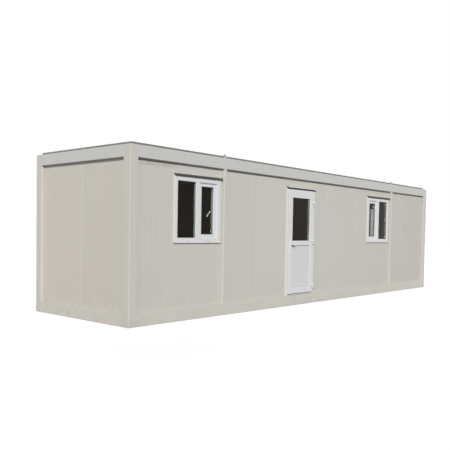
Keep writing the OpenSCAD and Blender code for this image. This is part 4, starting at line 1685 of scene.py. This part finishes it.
@dataclass
class Studio:
    """The camera at the photograph's angle, three lamps, soft surrounding light and a floor."""

    focal_pixels: float = 593.49
    centre_pixels: Span = (238.5, 252.46)
    place: Spot = (-10.3066, -7.8145, 1.3846)
    heading: float = 0.7109
    pitch: float = -0.0342
    roll: float = -0.0178
    sight: float = 500.0
    key: Lamp = Lamp("key", (0.83, 1.0, -0.62), 3.53, (0.985, 0.983, 0.968), 3.0)
    fill: Lamp = Lamp("fill", (1.0, 0.12, -0.25), 0.44, (1.0, 0.97, 0.93), 35.0)
    rim: Lamp = Lamp("rim", (-0.85, -1.0, -0.5), 2.1, (0.985, 0.99, 1.0), 50.0)
    surround: Rgba = (0.20, 0.206, 0.218, 1.0)
    floor_radius: float = 90.0
    floor_sides: int = 96
    floor_level: float = -0.0005
    floor_dull: Rgba = (0.27, 0.266, 0.26, 1.0)
    floor_pale: Rgba = (0.5, 0.5, 0.5, 1.0)
    floor_glow: float = 0.62

    def build(self) -> None:
        """Makes the camera, the lights and the floor."""
        self.camera()
        for lamp in (self.key, self.fill, self.rim):
            lamp.build()
        self.world()
        self.floor()
        bpy.context.scene.view_settings.view_transform = "Standard"

    def camera(self) -> None:
        """Sets the camera by its heading, pitch and roll."""
        ahead = Vector((math.cos(self.heading), math.sin(self.heading), 0.0))
        right = Vector((math.sin(self.heading), -math.cos(self.heading), 0.0))
        ahead = math.cos(self.pitch) * ahead + math.sin(self.pitch) * Vector((0, 0, 1))
        down = ahead.cross(right)
        across = math.cos(self.roll) * right + math.sin(self.roll) * down
        below = math.cos(self.roll) * down - math.sin(self.roll) * right
        data = bpy.data.cameras.new("camera")
        data.sensor_width = SENSOR_MM
        data.lens = self.focal_pixels * SENSOR_MM / PHOTO_PIXELS
        data.shift_x = (PHOTO_PIXELS / 2 - self.centre_pixels[0]) / PHOTO_PIXELS
        data.shift_y = (self.centre_pixels[1] - PHOTO_PIXELS / 2) / PHOTO_PIXELS
        data.clip_end = self.sight
        camera = put_in_scene("camera", data)
        rows = [[across[i], -below[i], -ahead[i], self.place[i]] for i in range(3)]
        camera.matrix_world = Matrix(rows + [[0, 0, 0, 1]])
        bpy.context.scene.camera = camera
        log.info("camera at %s", tuple(round(c, 3) for c in self.place))

    @staticmethod
    def split(tree: Tree, hidden: Node, shown: Node) -> NodeSocket:
        """Joins two shaders: one that is seen, and one that lights the dull surfaces.

        Args:
            tree: Nodes of the world or of the floor.
            hidden: The shader for light between dull surfaces.
            shown: The shader that is seen, straight or through metal and glass.

        Returns:
            The mixed shader's output.
        """
        path = tree.add("LightPath").outputs
        either = tree.math("ADD", path["Is Glossy Ray"], path["Is Transmission Ray"], clamp=True)
        first = tree.math("LESS_THAN", path["Diffuse Depth"], 0.5)
        clear = tree.math("MULTIPLY", either, first)
        seen = tree.math("ADD", path["Is Camera Ray"], clear, clamp=True)
        both = {0: seen, 1: hidden.outputs[0], 2: shown.outputs[0]}
        return tree.add("MixShader", both).outputs[0]

    def world(self) -> None:
        """Makes a white background with a dimmer surrounding light."""
        world = bpy.data.worlds.new("surround")
        tree = Tree(clear_tree(world))
        soft = tree.add("Background", {"Color": self.surround})
        white = tree.add("Background", {"Color": WHITE})
        tree.add("OutputWorld", {"Surface": self.split(tree, soft, white)})
        bpy.context.scene.world = world

    def floor(self) -> None:
        """Makes a round pale floor that keeps the shadow and shows white in the light."""
        material = bpy.data.materials.new("pale_floor")
        tree = Tree(clear_tree(material))
        dull = tree.add("BsdfDiffuse", {"Color": self.floor_dull})
        pale = tree.add("BsdfDiffuse", {"Color": self.floor_pale})
        glow = tree.add("Emission", {"Color": WHITE, "Strength": self.floor_glow})
        shown = tree.add("AddShader", {0: pale.outputs[0], 1: glow.outputs[0]})
        tree.add("OutputMaterial", {"Surface": self.split(tree, dull, shown)})
        bm = bmesh.new()
        bmesh.ops.create_circle(
            bm, cap_ends=True, segments=self.floor_sides, radius=self.floor_radius,
        )
        bmesh.ops.translate(bm, vec=(0, 0, self.floor_level), verts=bm.verts)
        make_object("floor", bm, material)


def main() -> None:
    """Builds the cabin's sub-assemblies and the studio in order."""
    logging.basicConfig(level=logging.INFO, format="%(name)s: %(message)s")
    Studio().build()
    SteelFrame().build()
    Walls().build()
    Roof().build()
    Window("front_left_window", Wall.FRONT, sash_right=True).build()
    Window("front_right_window", Wall.FRONT, sash_right=False).build()
    Window("right_end_window", Wall.RIGHT, sash_right=True).build()
    dress(["window_flashings"], FLASHING)
    dress(["window_handles"], WHITE_HARDWARE, SOFT_EDGE)
    Door().build()
    bare = sorted(set(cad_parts) - DRESSED)
    if bare:
        raise RuntimeError(f"nodes without a finish: {bare}")


if __name__ == "__main__":
    main()
